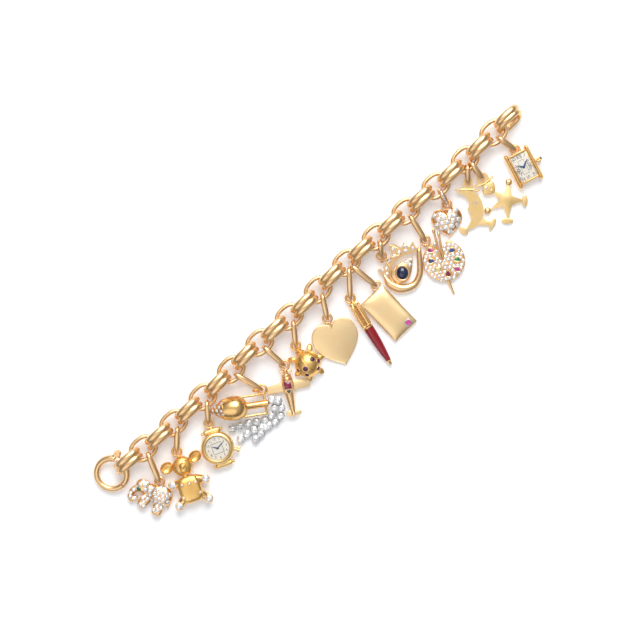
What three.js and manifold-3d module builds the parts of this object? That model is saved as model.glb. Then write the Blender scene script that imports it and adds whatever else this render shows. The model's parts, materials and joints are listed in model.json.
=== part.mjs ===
// A charm bracelet lying open and straight on a flat surface.
//
// The chain alternates double links (two oval rings side by side, standing on edge) with single links
// (one oval ring lying flat). A hinged ring clasp closes it. Fifteen charms hang from the single links,
// each by its own bail, and all of them lie to one side of the chain.
//
// Millimetres. +X runs along the chain from the clasp, +Y points away from the charms, +Z is up, and the
// origin is on the surface under the middle of the whole object's box.
import * as THREE from 'three';
import { mergeVertices } from 'three/addons/utils/BufferGeometryUtils.js';
import Module from 'manifold-3d';

// ---------------------------------------------------------------- driving dimensions

const PITCH = 12.96; // from one double link to the next
// Each double link's small sideways step from the straight line, as a chain laid by hand has.
const SWAY = [0, -0.7, -0.9, -0.8, 0, -0.1, -0.4, 0.4, 0.3, 0, -0.3, -0.7, -0.4, 0];
const LINK_LEVEL = 4.0; // height of the single links' wire, inside the double links

const DOUBLE_RING = { halfLength: 5.4, halfWidth: 4.15, squareness: 2.2, radial: 0.8, acrossEnd: 0.82, acrossMid: 1.12 };
const RING_SPACING = 1.98; // between the two rings of a double link
const RING_STAGGER = 0.15; // how far each of the two is pushed along the chain
const END_LEANS = [-8, -20]; // degrees that the last link's two rings lean over
const SINGLE_RING = { halfLength: 4.95, halfWidth: 4.15, squareness: 2.5, radial: 0.72, acrossEnd: 0.72, acrossMid: 0.72 };

const BAIL_WIRE = 0.55; // radius
const BAIL_MIDDLE = 0.85; // half the width that its long bars swell to
const BAIL_HALF_HEIGHT = 1.85; // of the wire's centre line
const BAIL_SLACK = 0.25; // between a bail's wire and the link's wire that it hangs on
const LOOP_RADIUS = 1.45; // of a charm's top loop, to the middle of its wire
const LOOP_WIRE = 0.42;
const LOOP_LEVEL = 2.2; // height of a level charm's loop above the surface

const CLASP_REACH = 7.0; // from the first double link's centre to the clasp's
const CLASP_SIDE = 0.5; // the clasp lies this far to the plain side
const CLASP_RADIUS = 5.15; // to the middle of its wire
const CLASP_WIRE = 1.05;
const CLASP_TILT = 15; // degrees: its free side is on the surface, the other side in the first link
const KNUCKLE_ANGLE = 31; // degrees round the clasp from +X
const MITRE_ANGLE = -87; // where the jaw meets the fixed arc
const KNUCKLE_REACH = 7.1; // from the clasp's centre to the hinge pin
const KNUCKLE_RADIUS = 1.15;
const JAW_GAP = 0.3;

// ---------------------------------------------------------------- materials

const metal = (color, roughness = 0.25) => new THREE.MeshStandardMaterial({ color, roughness, metalness: 1 });
const GOLD = metal(0xdcae6c);
const PALE_GOLD = metal(0xeccb8c, 0.35);
const DEEP_GOLD = metal(0xd29a48, 0.3);
const PAVE = metal(0xe4dcd0, 0.4);
const RED_ENAMEL = new THREE.MeshStandardMaterial({ color: 0x8c0c1c, roughness: 0.12, metalness: 0 });

// ---------------------------------------------------------------- solids

const wasm = await Module();
wasm.setup();

const radians = THREE.MathUtils.degToRad;

// Moves a geometry: at = [x, y, z], turn = degrees about X, Y and Z in that order, size = stretch.
function place(geometry, { at = [0, 0, 0], turn = [0, 0, 0], size = [1, 1, 1] }) {
  geometry.scale(...size);
  geometry.rotateX(radians(turn[0]));
  geometry.rotateY(radians(turn[1]));
  geometry.rotateZ(radians(turn[2]));
  return geometry.translate(...at);
}

function toSolid(geometry) {
  const bare = new THREE.BufferGeometry();
  bare.setAttribute('position', geometry.getAttribute('position').clone());
  bare.setIndex(geometry.index);
  const merged = mergeVertices(bare, 1e-4);
  return new wasm.Manifold(new wasm.Mesh({
    numProp: 3,
    vertProperties: new Float32Array(merged.attributes.position.array),
    triVerts: new Uint32Array(merged.index.array),
  }));
}

function toGeometry(solid) {
  const mesh = solid.getMesh();
  const geometry = new THREE.BufferGeometry();
  geometry.setAttribute('position', new THREE.BufferAttribute(mesh.vertProperties, 3));
  geometry.setIndex(new THREE.BufferAttribute(mesh.triVerts, 1));
  return geometry;
}

const fuse = (...geometries) => toGeometry(geometries.map(toSolid).reduce((a, b) => a.add(b)));
const cut = (geometry, ...tools) => toGeometry(tools.map(toSolid).reduce((a, b) => a.subtract(b), toSolid(geometry)));

// A closed ring of wire lying flat. Its centre line is a superellipse; the wire is `radial` thick in the
// ring's plane and swells from acrossEnd at the two short ends to acrossMid in the middle of the long bars.
function wireRing({ halfLength, halfWidth, squareness = 2, radial, acrossEnd, acrossMid }, segments = 12, sides = 5) {
  const ring = new THREE.TorusGeometry(2, 1, sides, segments);
  const { position, uv } = ring.attributes;
  const a = halfLength - radial;
  const b = halfWidth - radial;
  const power = (value, exponent) => Math.sign(value) * Math.abs(value) ** exponent;
  for (let i = 0; i < position.count; i++) {
    const along = 2 * Math.PI * uv.getX(i);
    const around = 2 * Math.PI * (uv.getY(i) + 0.5 / sides);
    const centre = new THREE.Vector2(
      a * power(Math.cos(along), 2 / squareness),
      b * power(Math.sin(along), 2 / squareness),
    );
    const outward = new THREE.Vector2(
      power(centre.x / a, squareness - 1) / a,
      power(centre.y / b, squareness - 1) / b,
    ).normalize();
    centre.addScaledVector(outward, radial * Math.cos(around));
    const across = acrossEnd + (acrossMid - acrossEnd) * Math.sin(along) ** 2;
    position.setXYZ(i, centre.x, centre.y, across * Math.sin(around));
  }
  return ring;
}

const ball = (at, size, turn = [0, 0, 0], across = 9, down = 6) =>
  place(new THREE.SphereGeometry(1, across, down), { at, turn, size });
const block = (at, size, turn = [0, 0, 0]) => place(new THREE.BoxGeometry(...size), { at, turn });
// A disc or drum about the Z direction, with `at` its middle.
const drum = (at, radius, height, sides = 10) =>
  place(new THREE.CylinderGeometry(radius, radius, height, sides).rotateX(Math.PI / 2), { at });

// A straight rod between two points, with its own radius at each.
function rod(from, to, fromRadius, toRadius = fromRadius, sides = 6) {
  const start = new THREE.Vector3(...from);
  const way = new THREE.Vector3(...to).sub(start);
  const geometry = new THREE.CylinderGeometry(toRadius, fromRadius, way.length(), sides);
  geometry.translate(0, way.length() / 2, 0);
  const turn = new THREE.Quaternion().setFromUnitVectors(new THREE.Vector3(0, 1, 0), way.normalize());
  return geometry.applyQuaternion(turn).translate(...from);
}

// A rod bent through a list of points.
const bentRod = (points, radius) =>
  fuse(...points.slice(1).map((to, i) => rod(points[i], to, radius)));

// A body turned about an axis that lies along -Y, from rows of [distance along the axis, radius].
function turned(rows, at, sides = 10) {
  const profile = [[rows[0][0], 0], ...rows, [rows.at(-1)[0], 0]].map(([y, r]) => new THREE.Vector2(r, y));
  return place(new THREE.LatheGeometry(profile, sides).scale(1, -1, 1).scale(-1, 1, 1), { at });
}

// A flat plate between heights low and high, with the outline given as a THREE.Shape.
function plate(shape, low, high, curveSegments = 6) {
  const geometry = new THREE.ExtrudeGeometry(shape, { depth: high - low, bevelEnabled: false, curveSegments });
  return geometry.translate(0, 0, low);
}
const polygon = (points) => new THREE.Shape(points.map(([x, y]) => new THREE.Vector2(x, y)));

// The flat loop at the top of every charm, with a stub down to the body at y = -reach. The charm's own
// origin is the middle of the loop's hole.
const topLoop = (level, reach = 2.6) => fuse(
  place(new THREE.TorusGeometry(LOOP_RADIUS, LOOP_WIRE, 5, 9), { at: [0, 0, level], turn: [0, 0, 90] }),
  rod([0, -LOOP_RADIUS, level], [0, -reach, level], 0.6),
);

// ---------------------------------------------------------------- the chain

const linkX = (i) => (i - (SWAY.length - 1) / 2) * PITCH;
const between = (i) => Math.atan2(SWAY[i + 1] - SWAY[i], PITCH); // a single link's heading

// Two rings on edge, side by side and touching in the middle of their long bars. The last link has nothing
// beyond it to hold it up, so its rings lean over.
function doubleLink(i) {
  const pushed = i < 4 || i % 2 === 1 ? 1 : -1;
  const leans = i === SWAY.length - 1 ? END_LEANS : [0, 0];
  const rings = [1, -1].map((side, k) => place(wireRing(DOUBLE_RING), {
    at: [side * pushed * RING_STAGGER, side * RING_SPACING / 2, 0],
    turn: [90 + leans[k], 0, 0],
  }));
  const link = fuse(...rings);
  const heading = (between(Math.max(i - 1, 0)) + between(Math.min(i, SWAY.length - 2))) / 2;
  link.rotateZ(heading);
  link.computeBoundingBox();
  return link.translate(linkX(i), SWAY[i], -link.boundingBox.min.z);
}

const singleCentre = (i) => [linkX(i) + PITCH / 2, (SWAY[i] + SWAY[i + 1]) / 2];

function singleLink(i) {
  const link = wireRing(SINGLE_RING);
  return link.rotateZ(between(i)).translate(...singleCentre(i), LINK_LEVEL);
}

// ---------------------------------------------------------------- the clasp

const claspCentre = new THREE.Vector3(
  linkX(0) - CLASP_REACH,
  CLASP_SIDE,
  CLASP_WIRE + CLASP_RADIUS * Math.sin(radians(CLASP_TILT)),
);
const claspPoint = (radius, angle) =>
  [radius * Math.cos(radians(angle)), radius * Math.sin(radians(angle)), 0];
const setClasp = (geometry) => geometry.rotateY(-radians(CLASP_TILT)).translate(...claspCentre.toArray());

// A length of the clasp's ring, from one angle round to another.
function claspArc(from, to, segments, wire = CLASP_WIRE) {
  class Arc extends THREE.Curve {
    getPoint(t) {
      return new THREE.Vector3(...claspPoint(CLASP_RADIUS, from + (to - from) * t));
    }
  }
  const section = new THREE.Shape().absarc(0, 0, wire, 0, 2 * Math.PI);
  return new THREE.ExtrudeGeometry(section, { steps: segments, extrudePath: new Arc(), curveSegments: 4 });
}

const jawGapAngle = THREE.MathUtils.radToDeg(JAW_GAP / CLASP_RADIUS);

// The fixed arc goes through the first double link; its knuckle holds the pin between two lugs' heights.
function claspArcFixed() {
  const arc = claspArc(MITRE_ANGLE + jawGapAngle, KNUCKLE_ANGLE - 9, 9);
  const [x, y] = claspPoint(KNUCKLE_REACH, KNUCKLE_ANGLE);
  const [nearX, nearY] = claspPoint(CLASP_RADIUS, KNUCKLE_ANGLE - 11);
  const lug = drum([x, y, -0.65], KNUCKLE_RADIUS, 0.8, 10);
  const neck = rod([nearX, nearY, -0.65], [x, y, -0.65], 0.38);
  return setClasp(fuse(arc, lug, neck));
}

function claspJaw() {
  const arc = claspArc(KNUCKLE_ANGLE + 9, MITRE_ANGLE + 360 - jawGapAngle, 20);
  const [x, y] = claspPoint(KNUCKLE_REACH, KNUCKLE_ANGLE);
  const [nearX, nearY] = claspPoint(CLASP_RADIUS, KNUCKLE_ANGLE + 12);
  const lug = drum([x, y, 0.5], KNUCKLE_RADIUS, 0.9, 10);
  const neck = rod([nearX, nearY, 0.5], [x, y, 0.5], 0.42);
  return setClasp(fuse(arc, lug, neck));
}

// ---------------------------------------------------------------- the charms
//
// Each charm is drawn upright in its own frame: the hole of its top loop at x = y = 0, its body towards -Y,
// its back at about z = 0 and its face up.

function elephant() {
  return fuse(
    ball([3.0, -4.1, 1.8], [3.7, 3.7, 1.8]),
    ball([-4.0, -3.9, 1.7], [2.7, 2.5, 1.6]),
    ball([-1.2, -3.7, 2.0], [2.0, 2.5, 1.5]),
    bentRod([[-5.4, -5.0, 1.5], [-6.5, -7.2, 1.5], [-6.3, -9.3, 1.5], [-5.0, -9.3, 1.5]], 0.8),
    rod([-0.4, -5.0, 1.6], [-1.9, -10.2, 1.6], 1.6, 1.4),
    rod([3.4, -6.0, 1.6], [4.1, -10.3, 1.6], 1.7, 1.5),
    rod([5.9, -4.0, 1.5], [6.5, -7.0, 1.5], 0.6, 0.45),
    topLoop(LOOP_LEVEL),
  );
}

function bear() {
  const limb = (from, to) => fuse(rod([...from, 2.6], [...to, 2.2], 1.25, 1.05), drum([...to, 2.4], 1.35, 1.8, 8));
  return fuse(
    ball([0.15, -5.1, 2.9], [3.4, 3.3, 2.7], [0, 0, 0], 12, 6),
    ball([0.3, -5.7, 5.0], [1.1, 1.6, 1.3], [0, 0, 0], 8, 6),
    ball([-4.9, -4.0, 2.3], [2.2, 1.9, 0.9]),
    ball([5.1, -3.5, 2.3], [2.2, 1.9, 0.9]),
    ball([0, -13.1, 2.9], [4.2, 4.6, 2.9], [0, 0, 0], 12, 6),
    drum([0, -8.5, 2.7], 1.3, 2.4, 8),
    limb([-2.8, -10.6], [-5.3, -10.0]),
    limb([3.0, -10.6], [5.9, -11.7]),
    limb([-2.8, -15.3], [-5.5, -17.4]),
    limb([2.8, -15.5], [4.9, -18.2]),
    topLoop(LOOP_LEVEL),
  );
}

const ROUND_WATCH = { centre: [-0.2, -8.65], caseRadius: 5.5, dialRadius: 3.95, height: 4.6 };

function roundWatch() {
  const { centre, caseRadius, dialRadius, height } = ROUND_WATCH;
  const lugBar = (y, tip) => fuse(
    rod([-3.6, y, 2.3], [3.4, tip, 2.3], 0.55),
    rod([-2.3, y, 2.3], [2.3, tip, 2.3], 1.05),
  );
  const body = fuse(
    drum([...centre, height / 2], caseRadius, height, 24),
    lugBar(-2.75, -2.95),
    lugBar(-14.3, -14.5),
    rod([4.0, -10.5, 2.3], [6.6, -11.6, 2.3], 1.1, 1.1, 8),
    topLoop(LOOP_LEVEL),
  );
  return cut(body, drum([...centre, height], dialRadius, 1.2, 24));
}

const ROCKET_AXIS = [4.75, 0, 4.2];
const STONE_STEP = 2.7; // between the stones of the rocket's flame
// Each strand of the flame bends through these points, from the rocket's tail.
const FLAME_STRANDS = [
  [[3.9, 2.8], [7.6, 3.2], [9.9, 0.2], [10.3, -5.6], [11.4, -11.5]],
  [[4.5, 4.9], [8.6, 5.4], [11.9, 1.6], [13.0, -4.6], [15.2, -9.2]],
  [[12.7, -0.8], [14.5, -2.4], [16.1, -4.4]],
];

function rocket() {
  const [x, , z] = ROCKET_AXIS;
  const stones = FLAME_STRANDS.flatMap((strand) => {
    const curve = new THREE.CatmullRomCurve3(strand.map(([sx, sy]) => new THREE.Vector3(sx, sy, 0)));
    return curve.getSpacedPoints(Math.round(curve.getLength() / STONE_STEP)).map((stone) => {
      const rise = Math.max(0, 2.2 - 0.35 * Math.hypot(stone.x - strand[0][0], stone.y - strand[0][1]));
      const level = strand === FLAME_STRANDS[2] ? 1.0 : 1.0 + rise;
      return drum([stone.x, stone.y, level], STONE_STEP / 2 + 0.2, 2.0, 6);
    });
  });
  return fuse(
    turned([[5.2, 1.2], [6.4, 2.9], [9.4, 4.1], [12.4, 3.9], [14.0, 3.3], [17.2, 1.0], [17.9, 0.4]], [x, 0, z]),
    rod([x, -6.0, z], [x, 1.3, z - 0.6], 1.3, 1.3, 8),
    rod([1.5, -6.6, z], [1.5, 0.5, 2.6], 0.45),
    rod([8.0, -6.8, z], [8.0, 0.5, 3.4], 0.45),
    rod([1.2, 0.4, 2.5], [8.2, 0.4, 3.6], 0.45),
    rod([3.4, -6.0, z], [1.5, -6.6, z], 0.5),
    rod([6.0, -6.0, z], [8.0, -6.8, z], 0.5),
    rod([x, 0.6, z - 0.9], [4.4, 2.8, 2.4], 0.9),
    topLoop(LOOP_LEVEL),
    ...stones,
  );
}

function plane() {
  const wings = polygon([[-7.2, -6.2], [-1.0, -5.2], [1.0, -5.2], [7.1, -5.9], [7.1, -8.5], [1.0, -8.5], [-1.0, -8.7], [-7.3, -8.6]]);
  const tail = polygon([[-2.5, -16.8], [-2.3, -15.3], [2.3, -15.3], [2.6, -16.6], [0, -17.1]]);
  return fuse(
    turned([[2.6, 0.9], [3.4, 1.5], [5.2, 1.95], [8.6, 1.8], [16.6, 0.6], [17.3, 0.4]], [-0.1, 0, 1.95]),
    plate(wings, 0.9, 1.8),
    plate(tail, 1.7, 2.4),
    rod([-0.1, -15.4, 2.2], [-0.1, -17.0, 3.2], 0.35),
    rod([-2.0, -2.2, 2.0], [1.9, -2.2, 2.0], 0.35),
    rod([0, -1.5, 2.1], [0, -3.0, 2.0], 0.6),
    block([-0.2, -6.8, 3.6], [2.4, 2.6, 1.0]),
    topLoop(LOOP_LEVEL),
  );
}

function ladybug() {
  const feet = [[-2.5, -4.1], [4.2, -1.6], [7.0, -5.6], [5.9, -10.1], [-1.3, -8.9], [2.0, -11.4]];
  return fuse(
    ball([2.4, -6.7, 3.3], [4.4, 4.6, 3.6], [0, 0, 0], 12, 7),
    rod([0.3, -1.4, 2.4], [1.3, -3.2, 2.9], 1.0, 1.6, 8),
    ...feet.map(([x, y]) => rod([(x + 2.4) / 2, (y - 6.7) / 2, 1.6], [x, y, 0.75], 0.9, 0.5, 6)),
    topLoop(LOOP_LEVEL),
  );
}

// A heart between its notch and its tip: two round lobes over a point.
function heartShape(halfWidth, notchY, topY, tipY) {
  const lobe = (topY + notchY) / 2 + (notchY - topY) * 0.6;
  const side = notchY + (tipY - notchY) * 0.28;
  const shape = new THREE.Shape().moveTo(0, notchY);
  shape.bezierCurveTo(halfWidth * 0.25, topY + 0.3, halfWidth, lobe + (topY - notchY), halfWidth, side);
  shape.bezierCurveTo(halfWidth, side + (tipY - side) * 0.4, halfWidth * 0.4, tipY + (side - tipY) * 0.25, 0, tipY);
  shape.bezierCurveTo(-halfWidth * 0.4, tipY + (side - tipY) * 0.25, -halfWidth, side + (tipY - side) * 0.4, -halfWidth, side);
  shape.bezierCurveTo(-halfWidth, lobe + (topY - notchY), -halfWidth * 0.25, topY + 0.3, 0, notchY);
  return shape;
}

function plainHeart() {
  return fuse(
    plate(heartShape(7.55, -2.9, -0.6, -16.4), 0, 1.2, 7),
    topLoop(0.7, 3.4),
  );
}

const PEN = { radius: 1.7, capEnd: -11.4, barrelEnd: -24.3, tip: -25.6 };

function penCap() {
  const level = PEN.radius;
  return fuse(
    turned([[1.7, 0.9], [2.4, 1.55], [11.2, PEN.radius], [-PEN.capEnd, PEN.radius]], [0, 0, level]),
    block([-1.0, -6.6, 3.2], [0.9, 8.6, 0.9]),
    topLoop(LOOP_LEVEL - 0.4),
  );
}

const penBarrel = () =>
  turned([[11.7, 1.6], [15, 1.55], [20, 1.15], [24.3, 0.72], [25.4, 0.6], [25.7, 0.3]], [0, 0, PEN.radius]);

function envelope() {
  const body = new THREE.BoxGeometry(9.9, 16.8, 2.8, 4, 4, 1);
  const { position } = body.attributes;
  for (let i = 0; i < position.count; i++) {
    const fullness = (1 - (position.getX(i) / 4.95) ** 2) * (1 - (position.getY(i) / 8.4) ** 2);
    position.setZ(i, Math.sign(position.getZ(i)) * (0.5 + 0.9 * fullness ** 0.5));
  }
  return fuse(
    body.translate(-3.2, -9.35, 1.4),
    block([-0.5, -16.4, 1.6], [1.6, 1.6, 1.1]),
    topLoop(1.4, 1.9),
  );
}

function eye() {
  const frame = polygon([
    [0.6, -6.9], [2.2, -9.6], [4.4, -11.3], [6.9, -11.9], [9.8, -11.3], [12.0, -9.6], [13.3, -6.9], [13.5, -3.0], [13.3, 0.8],
    [12.7, 3.4], [10.6, 2.7], [10.4, 4.7], [8.8, 3.4], [7.3, 4.6], [6.7, 2.6], [4.8, 4.0], [2.4, 3.7], [2.9, 1.6], [3.2, -0.6],
    [2.0, -1.2], [1.2, -3.6], [-1.2, -4.4], [0.5, -5.6],
  ]);
  const opening = polygon([[11.6, 1.3], [7.4, 0.2], [4.9, -1.6], [3.6, -4.0], [4.0, -6.6], [5.6, -8.8], [8.2, -9.0], [10.6, -7.4], [11.6, -4.6]]);
  const drop = polygon([[10.3, -0.3], [7.2, -1.6], [4.8, -3.2], [3.2, -5.2], [4.3, -7.8], [6.4, -8.6], [8.8, -7.4], [9.9, -4.6]]);
  return fuse(
    cut(plate(frame, 0, 2.0), plate(opening, -1, 3)),
    plate(drop, 0.3, 2.2),
    ball([6.9, -5.5, 2.2], [2.1, 2.4, 1.5]),
    bentRod([[0.5, -6.6, 1.4], [2.6, -9.6, 1.5], [6.8, -11.0, 1.6], [11.0, -9.6, 1.6], [12.6, -6.0, 1.5], [12.5, 1.8, 1.4]], 1.2),
    topLoop(1.6, 1.7),
    block([1.5, -1.8, 1.3], [1.4, 1.4, 1.0]),
  );
}

function palette() {
  const disc = new THREE.Shape().absellipse(6.2, -6.7, 7.0, 6.9, radians(110), radians(110 + 332));
  disc.lineTo(5.3, -3.4);
  return fuse(
    plate(disc, 0.3, 2.1, 10),
    rod([2.35, 4.2, 2.3], [5.4, -6.2, 2.0], 0.42),
    rod([4.4, 3.0, 2.3], [6.0, -6.2, 2.0], 0.42),
    rod([7.4, -12.6, 1.2], [9.8, -17.6, 0.9], 0.65, 0.35),
    topLoop(1.6, 1.7),
    block([1.3, -1.6, 1.4], [1.6, 1.6, 1.0]),
  );
}

function paveHeart() {
  const body = plate(heartShape(5.0, -1.8, -0.2, -9.8), 0, 3.2, 5).translate(-0.9, -0.45, 0);
  return fuse(body, topLoop(2.0, 2.7));
}

function moonMan() {
  const crescent = polygon([
    [-3.8, -3.1], [0, -2.4], [2.6, -3.4], [4.3, -5.6], [5.1, -8.2], [5.0, -11.0], [3.6, -13.4], [1.4, -15.0], [-0.8, -15.6],
    [0.5, -13.4], [1.2, -11.6], [0.4, -10.4], [0.9, -9.4], [-0.2, -8.2], [0.5, -6.6], [-0.2, -4.9], [-1.8, -3.8],
  ]);
  return fuse(
    cut(plate(crescent, 0.2, 1.4), drum([2.3, -6.1, 0.8], 0.6, 3, 6)),
    plate(polygon([[-3.8, -2.5], [3.2, -2.5], [3.2, -1.9], [-3.8, -1.9]]), 0, 1.6),
    plate(polygon([[-1.8, -2.2], [1.9, -2.2], [1.6, -1.0], [-1.5, -1.0]]), 0.2, 1.4),
    topLoop(0.8),
    plate(polygon([[4.0, -11.0], [7.8, -12.4], [8.6, -11.9], [9.0, -12.6], [8.3, -14.6], [7.2, -15.4], [7.2, -14.2], [3.2, -13.6]]), 0.3, 1.3),
    plate(new THREE.Shape().absellipse(-1.3, -15.9, 1.6, 1.0, 0, 2 * Math.PI, false, radians(-35)), 0.2, 1.4, 5),
  );
}

function starMan() {
  const limbs = [[84, 6.0], [0, 5.8], [-85, 6.5], [-151, 6.2], [146, 6.1]];
  const centre = [8.1, -7.2];
  const at = (angle, radius) => [
    centre[0] + radius * Math.cos(radians(angle)),
    centre[1] + radius * Math.sin(radians(angle)),
  ];
  const outline = limbs.flatMap(([angle, reach], i) => {
    const next = limbs[(i + 1) % limbs.length][0];
    const half = ((angle - next + 720) % 360) / 2;
    return [at(angle, reach), at(angle - half, 2.6)];
  });
  const brim = polygon([[-1.8, -2.9], [3.4, 0.1], [3.1, 0.7], [-2.1, -2.2]]);
  return fuse(
    plate(polygon(outline.reverse()), 0.2, 1.3),
    drum([8.75, -1.2, 0.75], 1.2, 1.3, 8),
    drum([1.85, -10.6, 0.75], 1.2, 1.3, 8),
    plate(new THREE.Shape().absellipse(14.3, -7.4, 0.9, 2.0, 0, 2 * Math.PI), 0.2, 1.3, 4),
    plate(new THREE.Shape().absellipse(8.3, -14.1, 2.0, 0.9, 0, 2 * Math.PI), 0.2, 1.3, 4),
    drum([2.2, -3.2, 0.9], 2.1, 1.6, 12),
    plate(brim, 0.1, 1.7),
    topLoop(0.9),
  );
}

function squareWatch() {
  const barWidth = 1.55;
  const bar = (x, top, bottom) => block([x, (top + bottom) / 2, 1.9], [barWidth, top - bottom, 3.4]);
  return cut(
    fuse(
      block([-0.2, -6.3, 1.8], [7.0, 10.4, 3.4]),
      bar(-3.95, -0.3, -12.5),
      bar(3.55, -0.1, -12.6),
      rod([4.0, -6.3, 1.9], [5.9, -6.3, 1.9], 0.8, 0.8, 8),
      ball([6.2, -6.3, 1.9], [0.7, 0.6, 0.6], [0, 0, 0], 6, 4),
      topLoop(1.9, 1.9),
    ),
    block([-0.2, -6.3, 3.6], [5.7, 9.2, 1.0]),
  );
}

// Name, drawing, finish, the loop's place [x, y] measured from the middle of the chain, the heading of the
// charm's own +Y from the bracelet's, how far the loop's side is lifted (degrees), and which single link
// it hangs from, with the bail's step along that link's wire.
const CHARMS = [
  { name: 'elephant', draw: elephant, finish: PAVE, at: [-81.3, -12.1], turn: -70, lift: 0, link: 0 },
  { name: 'bear', draw: bear, finish: DEEP_GOLD, at: [-70.4, -8.5], turn: -22, lift: 0, link: 1 },
  { name: 'round_watch', draw: roundWatch, finish: DEEP_GOLD, at: [-56.3, -8.6], turn: -21, lift: 0, link: 2 },
  { name: 'rocket', draw: rocket, finish: DEEP_GOLD, at: [-35.8, -12.0], turn: -123.6, lift: 0, link: 3 },
  { name: 'plane', draw: plane, finish: GOLD, at: [-24.9, -11.0], turn: -30.7, lift: 0, link: 4 },
  { name: 'ladybug', draw: ladybug, finish: DEEP_GOLD, at: [-17.8, -8.8], turn: -28, lift: 0, link: 5 },
  { name: 'plain_heart', draw: plainHeart, finish: PALE_GOLD, at: [-4.0, -9.0], turn: -19.6, lift: 6, link: 6 },
  { name: 'pen_cap', draw: penCap, finish: GOLD, at: [6.05, -9.2], turn: -10.2, lift: 1.5, link: 7, step: -0.62 },
  { name: 'envelope', draw: envelope, finish: PALE_GOLD, at: [15.2, -11.8], turn: 1.8, lift: 2.5, link: 7, step: 0.62 },
  { name: 'eye', draw: eye, finish: GOLD, at: [23.1, -5.7], turn: -42, lift: 3, link: 8 },
  { name: 'palette', draw: palette, finish: PAVE, at: [37.35, -11.5], turn: -42, lift: 2.5, link: 9 },
  { name: 'pave_heart', draw: paveHeart, finish: PAVE, at: [50.5, -7.6], turn: -31, lift: 0, link: 10 },
  { name: 'moon_man', draw: moonMan, finish: PALE_GOLD, at: [60.5, -6.9], turn: -42, lift: 5, link: 11, step: -0.74 },
  { name: 'star_man', draw: starMan, finish: PALE_GOLD, at: [65.0, -8.9], turn: -42, lift: 5, link: 11, step: 0.74 },
  { name: 'square_watch', draw: squareWatch, finish: GOLD, at: [79.4, -9.2], turn: -14.3, lift: 0, link: 12 },
];

// The level of each drawing's top loop in its own frame.
const LOOP_LEVELS = {
  plain_heart: 0.7, pen_cap: LOOP_LEVEL - 0.4, envelope: 1.4, eye: 1.6, palette: 1.6, pave_heart: 2.0,
  moon_man: 0.8, star_man: 0.9, square_watch: 1.9,
};

// Where a charm lies: lifted about X, turned about Z, and let down until its lowest point is on the surface.
function layCharm({ draw, at, turn, lift }, geometry = draw()) {
  const lay = new THREE.Matrix4()
    .makeRotationZ(radians(turn))
    .multiply(new THREE.Matrix4().makeRotationX(radians(lift)));
  geometry.applyMatrix4(lay);
  geometry.computeBoundingBox();
  const drop = new THREE.Matrix4().makeTranslation(at[0], at[1], -geometry.boundingBox.min.z);
  geometry.applyMatrix4(drop);
  return { geometry, lay: drop.multiply(lay) };
}

// An oval wire ring that stands on edge from a single link's wire to a charm's loop.
function bail(charm, lay) {
  const loop = new THREE.Vector3(0, 0, LOOP_LEVELS[charm.name] ?? LOOP_LEVEL).applyMatrix4(lay);
  const [x, y] = singleCentre(charm.link);
  const { halfWidth, radial } = SINGLE_RING;
  const wireY = y - halfWidth + radial;
  const past = radial + BAIL_SLACK + BAIL_WIRE;
  const slope = (LINK_LEVEL - loop.z) / (wireY - loop.y);
  const onLink = new THREE.Vector3(x + (charm.step ?? 0), wireY + past, LINK_LEVEL + slope * past);
  const along = loop.clone().sub(onLink);
  const half = along.length() / 2;
  const ring = wireRing({
    halfLength: half + BAIL_WIRE, halfWidth: BAIL_HALF_HEIGHT + BAIL_WIRE, squareness: 3.2,
    radial: BAIL_WIRE, acrossEnd: BAIL_WIRE, acrossMid: BAIL_MIDDLE,
  }, 10, 5);
  const xAxis = along.normalize();
  const side = new THREE.Vector3(0, 0, 1).cross(xAxis).normalize();
  const up = xAxis.clone().cross(side);
  ring.applyMatrix4(new THREE.Matrix4().makeBasis(xAxis, up, side.negate()));
  const middle = onLink.add(loop).multiplyScalar(0.5);
  return ring.translate(...middle.toArray());
}

// ---------------------------------------------------------------- the bracelet

const bracelet = new THREE.Group();
function add(name, geometry, material) {
  const mesh = new THREE.Mesh(geometry, material);
  mesh.name = name;
  bracelet.add(mesh);
}
const numbered = (name, i) => `${name}_${String(i + 1).padStart(2, '0')}`;

SWAY.forEach((_, i) => add(numbered('double_link', i), doubleLink(i), GOLD));
SWAY.slice(1).forEach((_, i) => add(numbered('single_link', i), singleLink(i), GOLD));
add('clasp_arc', claspArcFixed(), GOLD);
add('clasp_jaw', claspJaw(), GOLD);

for (const charm of CHARMS) {
  const { geometry, lay } = layCharm(charm);
  add(charm.name, geometry, charm.finish);
  add(`${charm.name.replace('_cap', '')}_bail`, bail(charm, lay), GOLD);
  if (charm.name === 'pen_cap') add('pen_barrel', penBarrel().applyMatrix4(lay), RED_ENAMEL);
}

// The origin goes under the middle of the whole box.
const box = new THREE.Box3().setFromObject(bracelet);
const middle = box.getCenter(new THREE.Vector3());
bracelet.children.forEach((mesh) => mesh.position.set(-middle.x, -middle.y, -box.min.z));

export default bracelet;
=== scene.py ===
# %% [markdown]
# # A gold charm bracelet
#
# The bracelet lies open on a pale table. Its chain alternates double links, which stand on edge, with
# single links, which lie flat. A hinged ring closes it, and fifteen small charms hang along one side, each on
# its own bail. Every piece here is a surface worked out with numpy from a formula, and the frame says where
# it goes.

import json
from math import atan2, cos, degrees, pi, radians, sin

import bmesh
import bpy
import numpy as np
from mathutils import Euler, Matrix, Vector
from mathutils.bvhtree import BVHTree
from mathutils.geometry import tessellate_polygon


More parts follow.
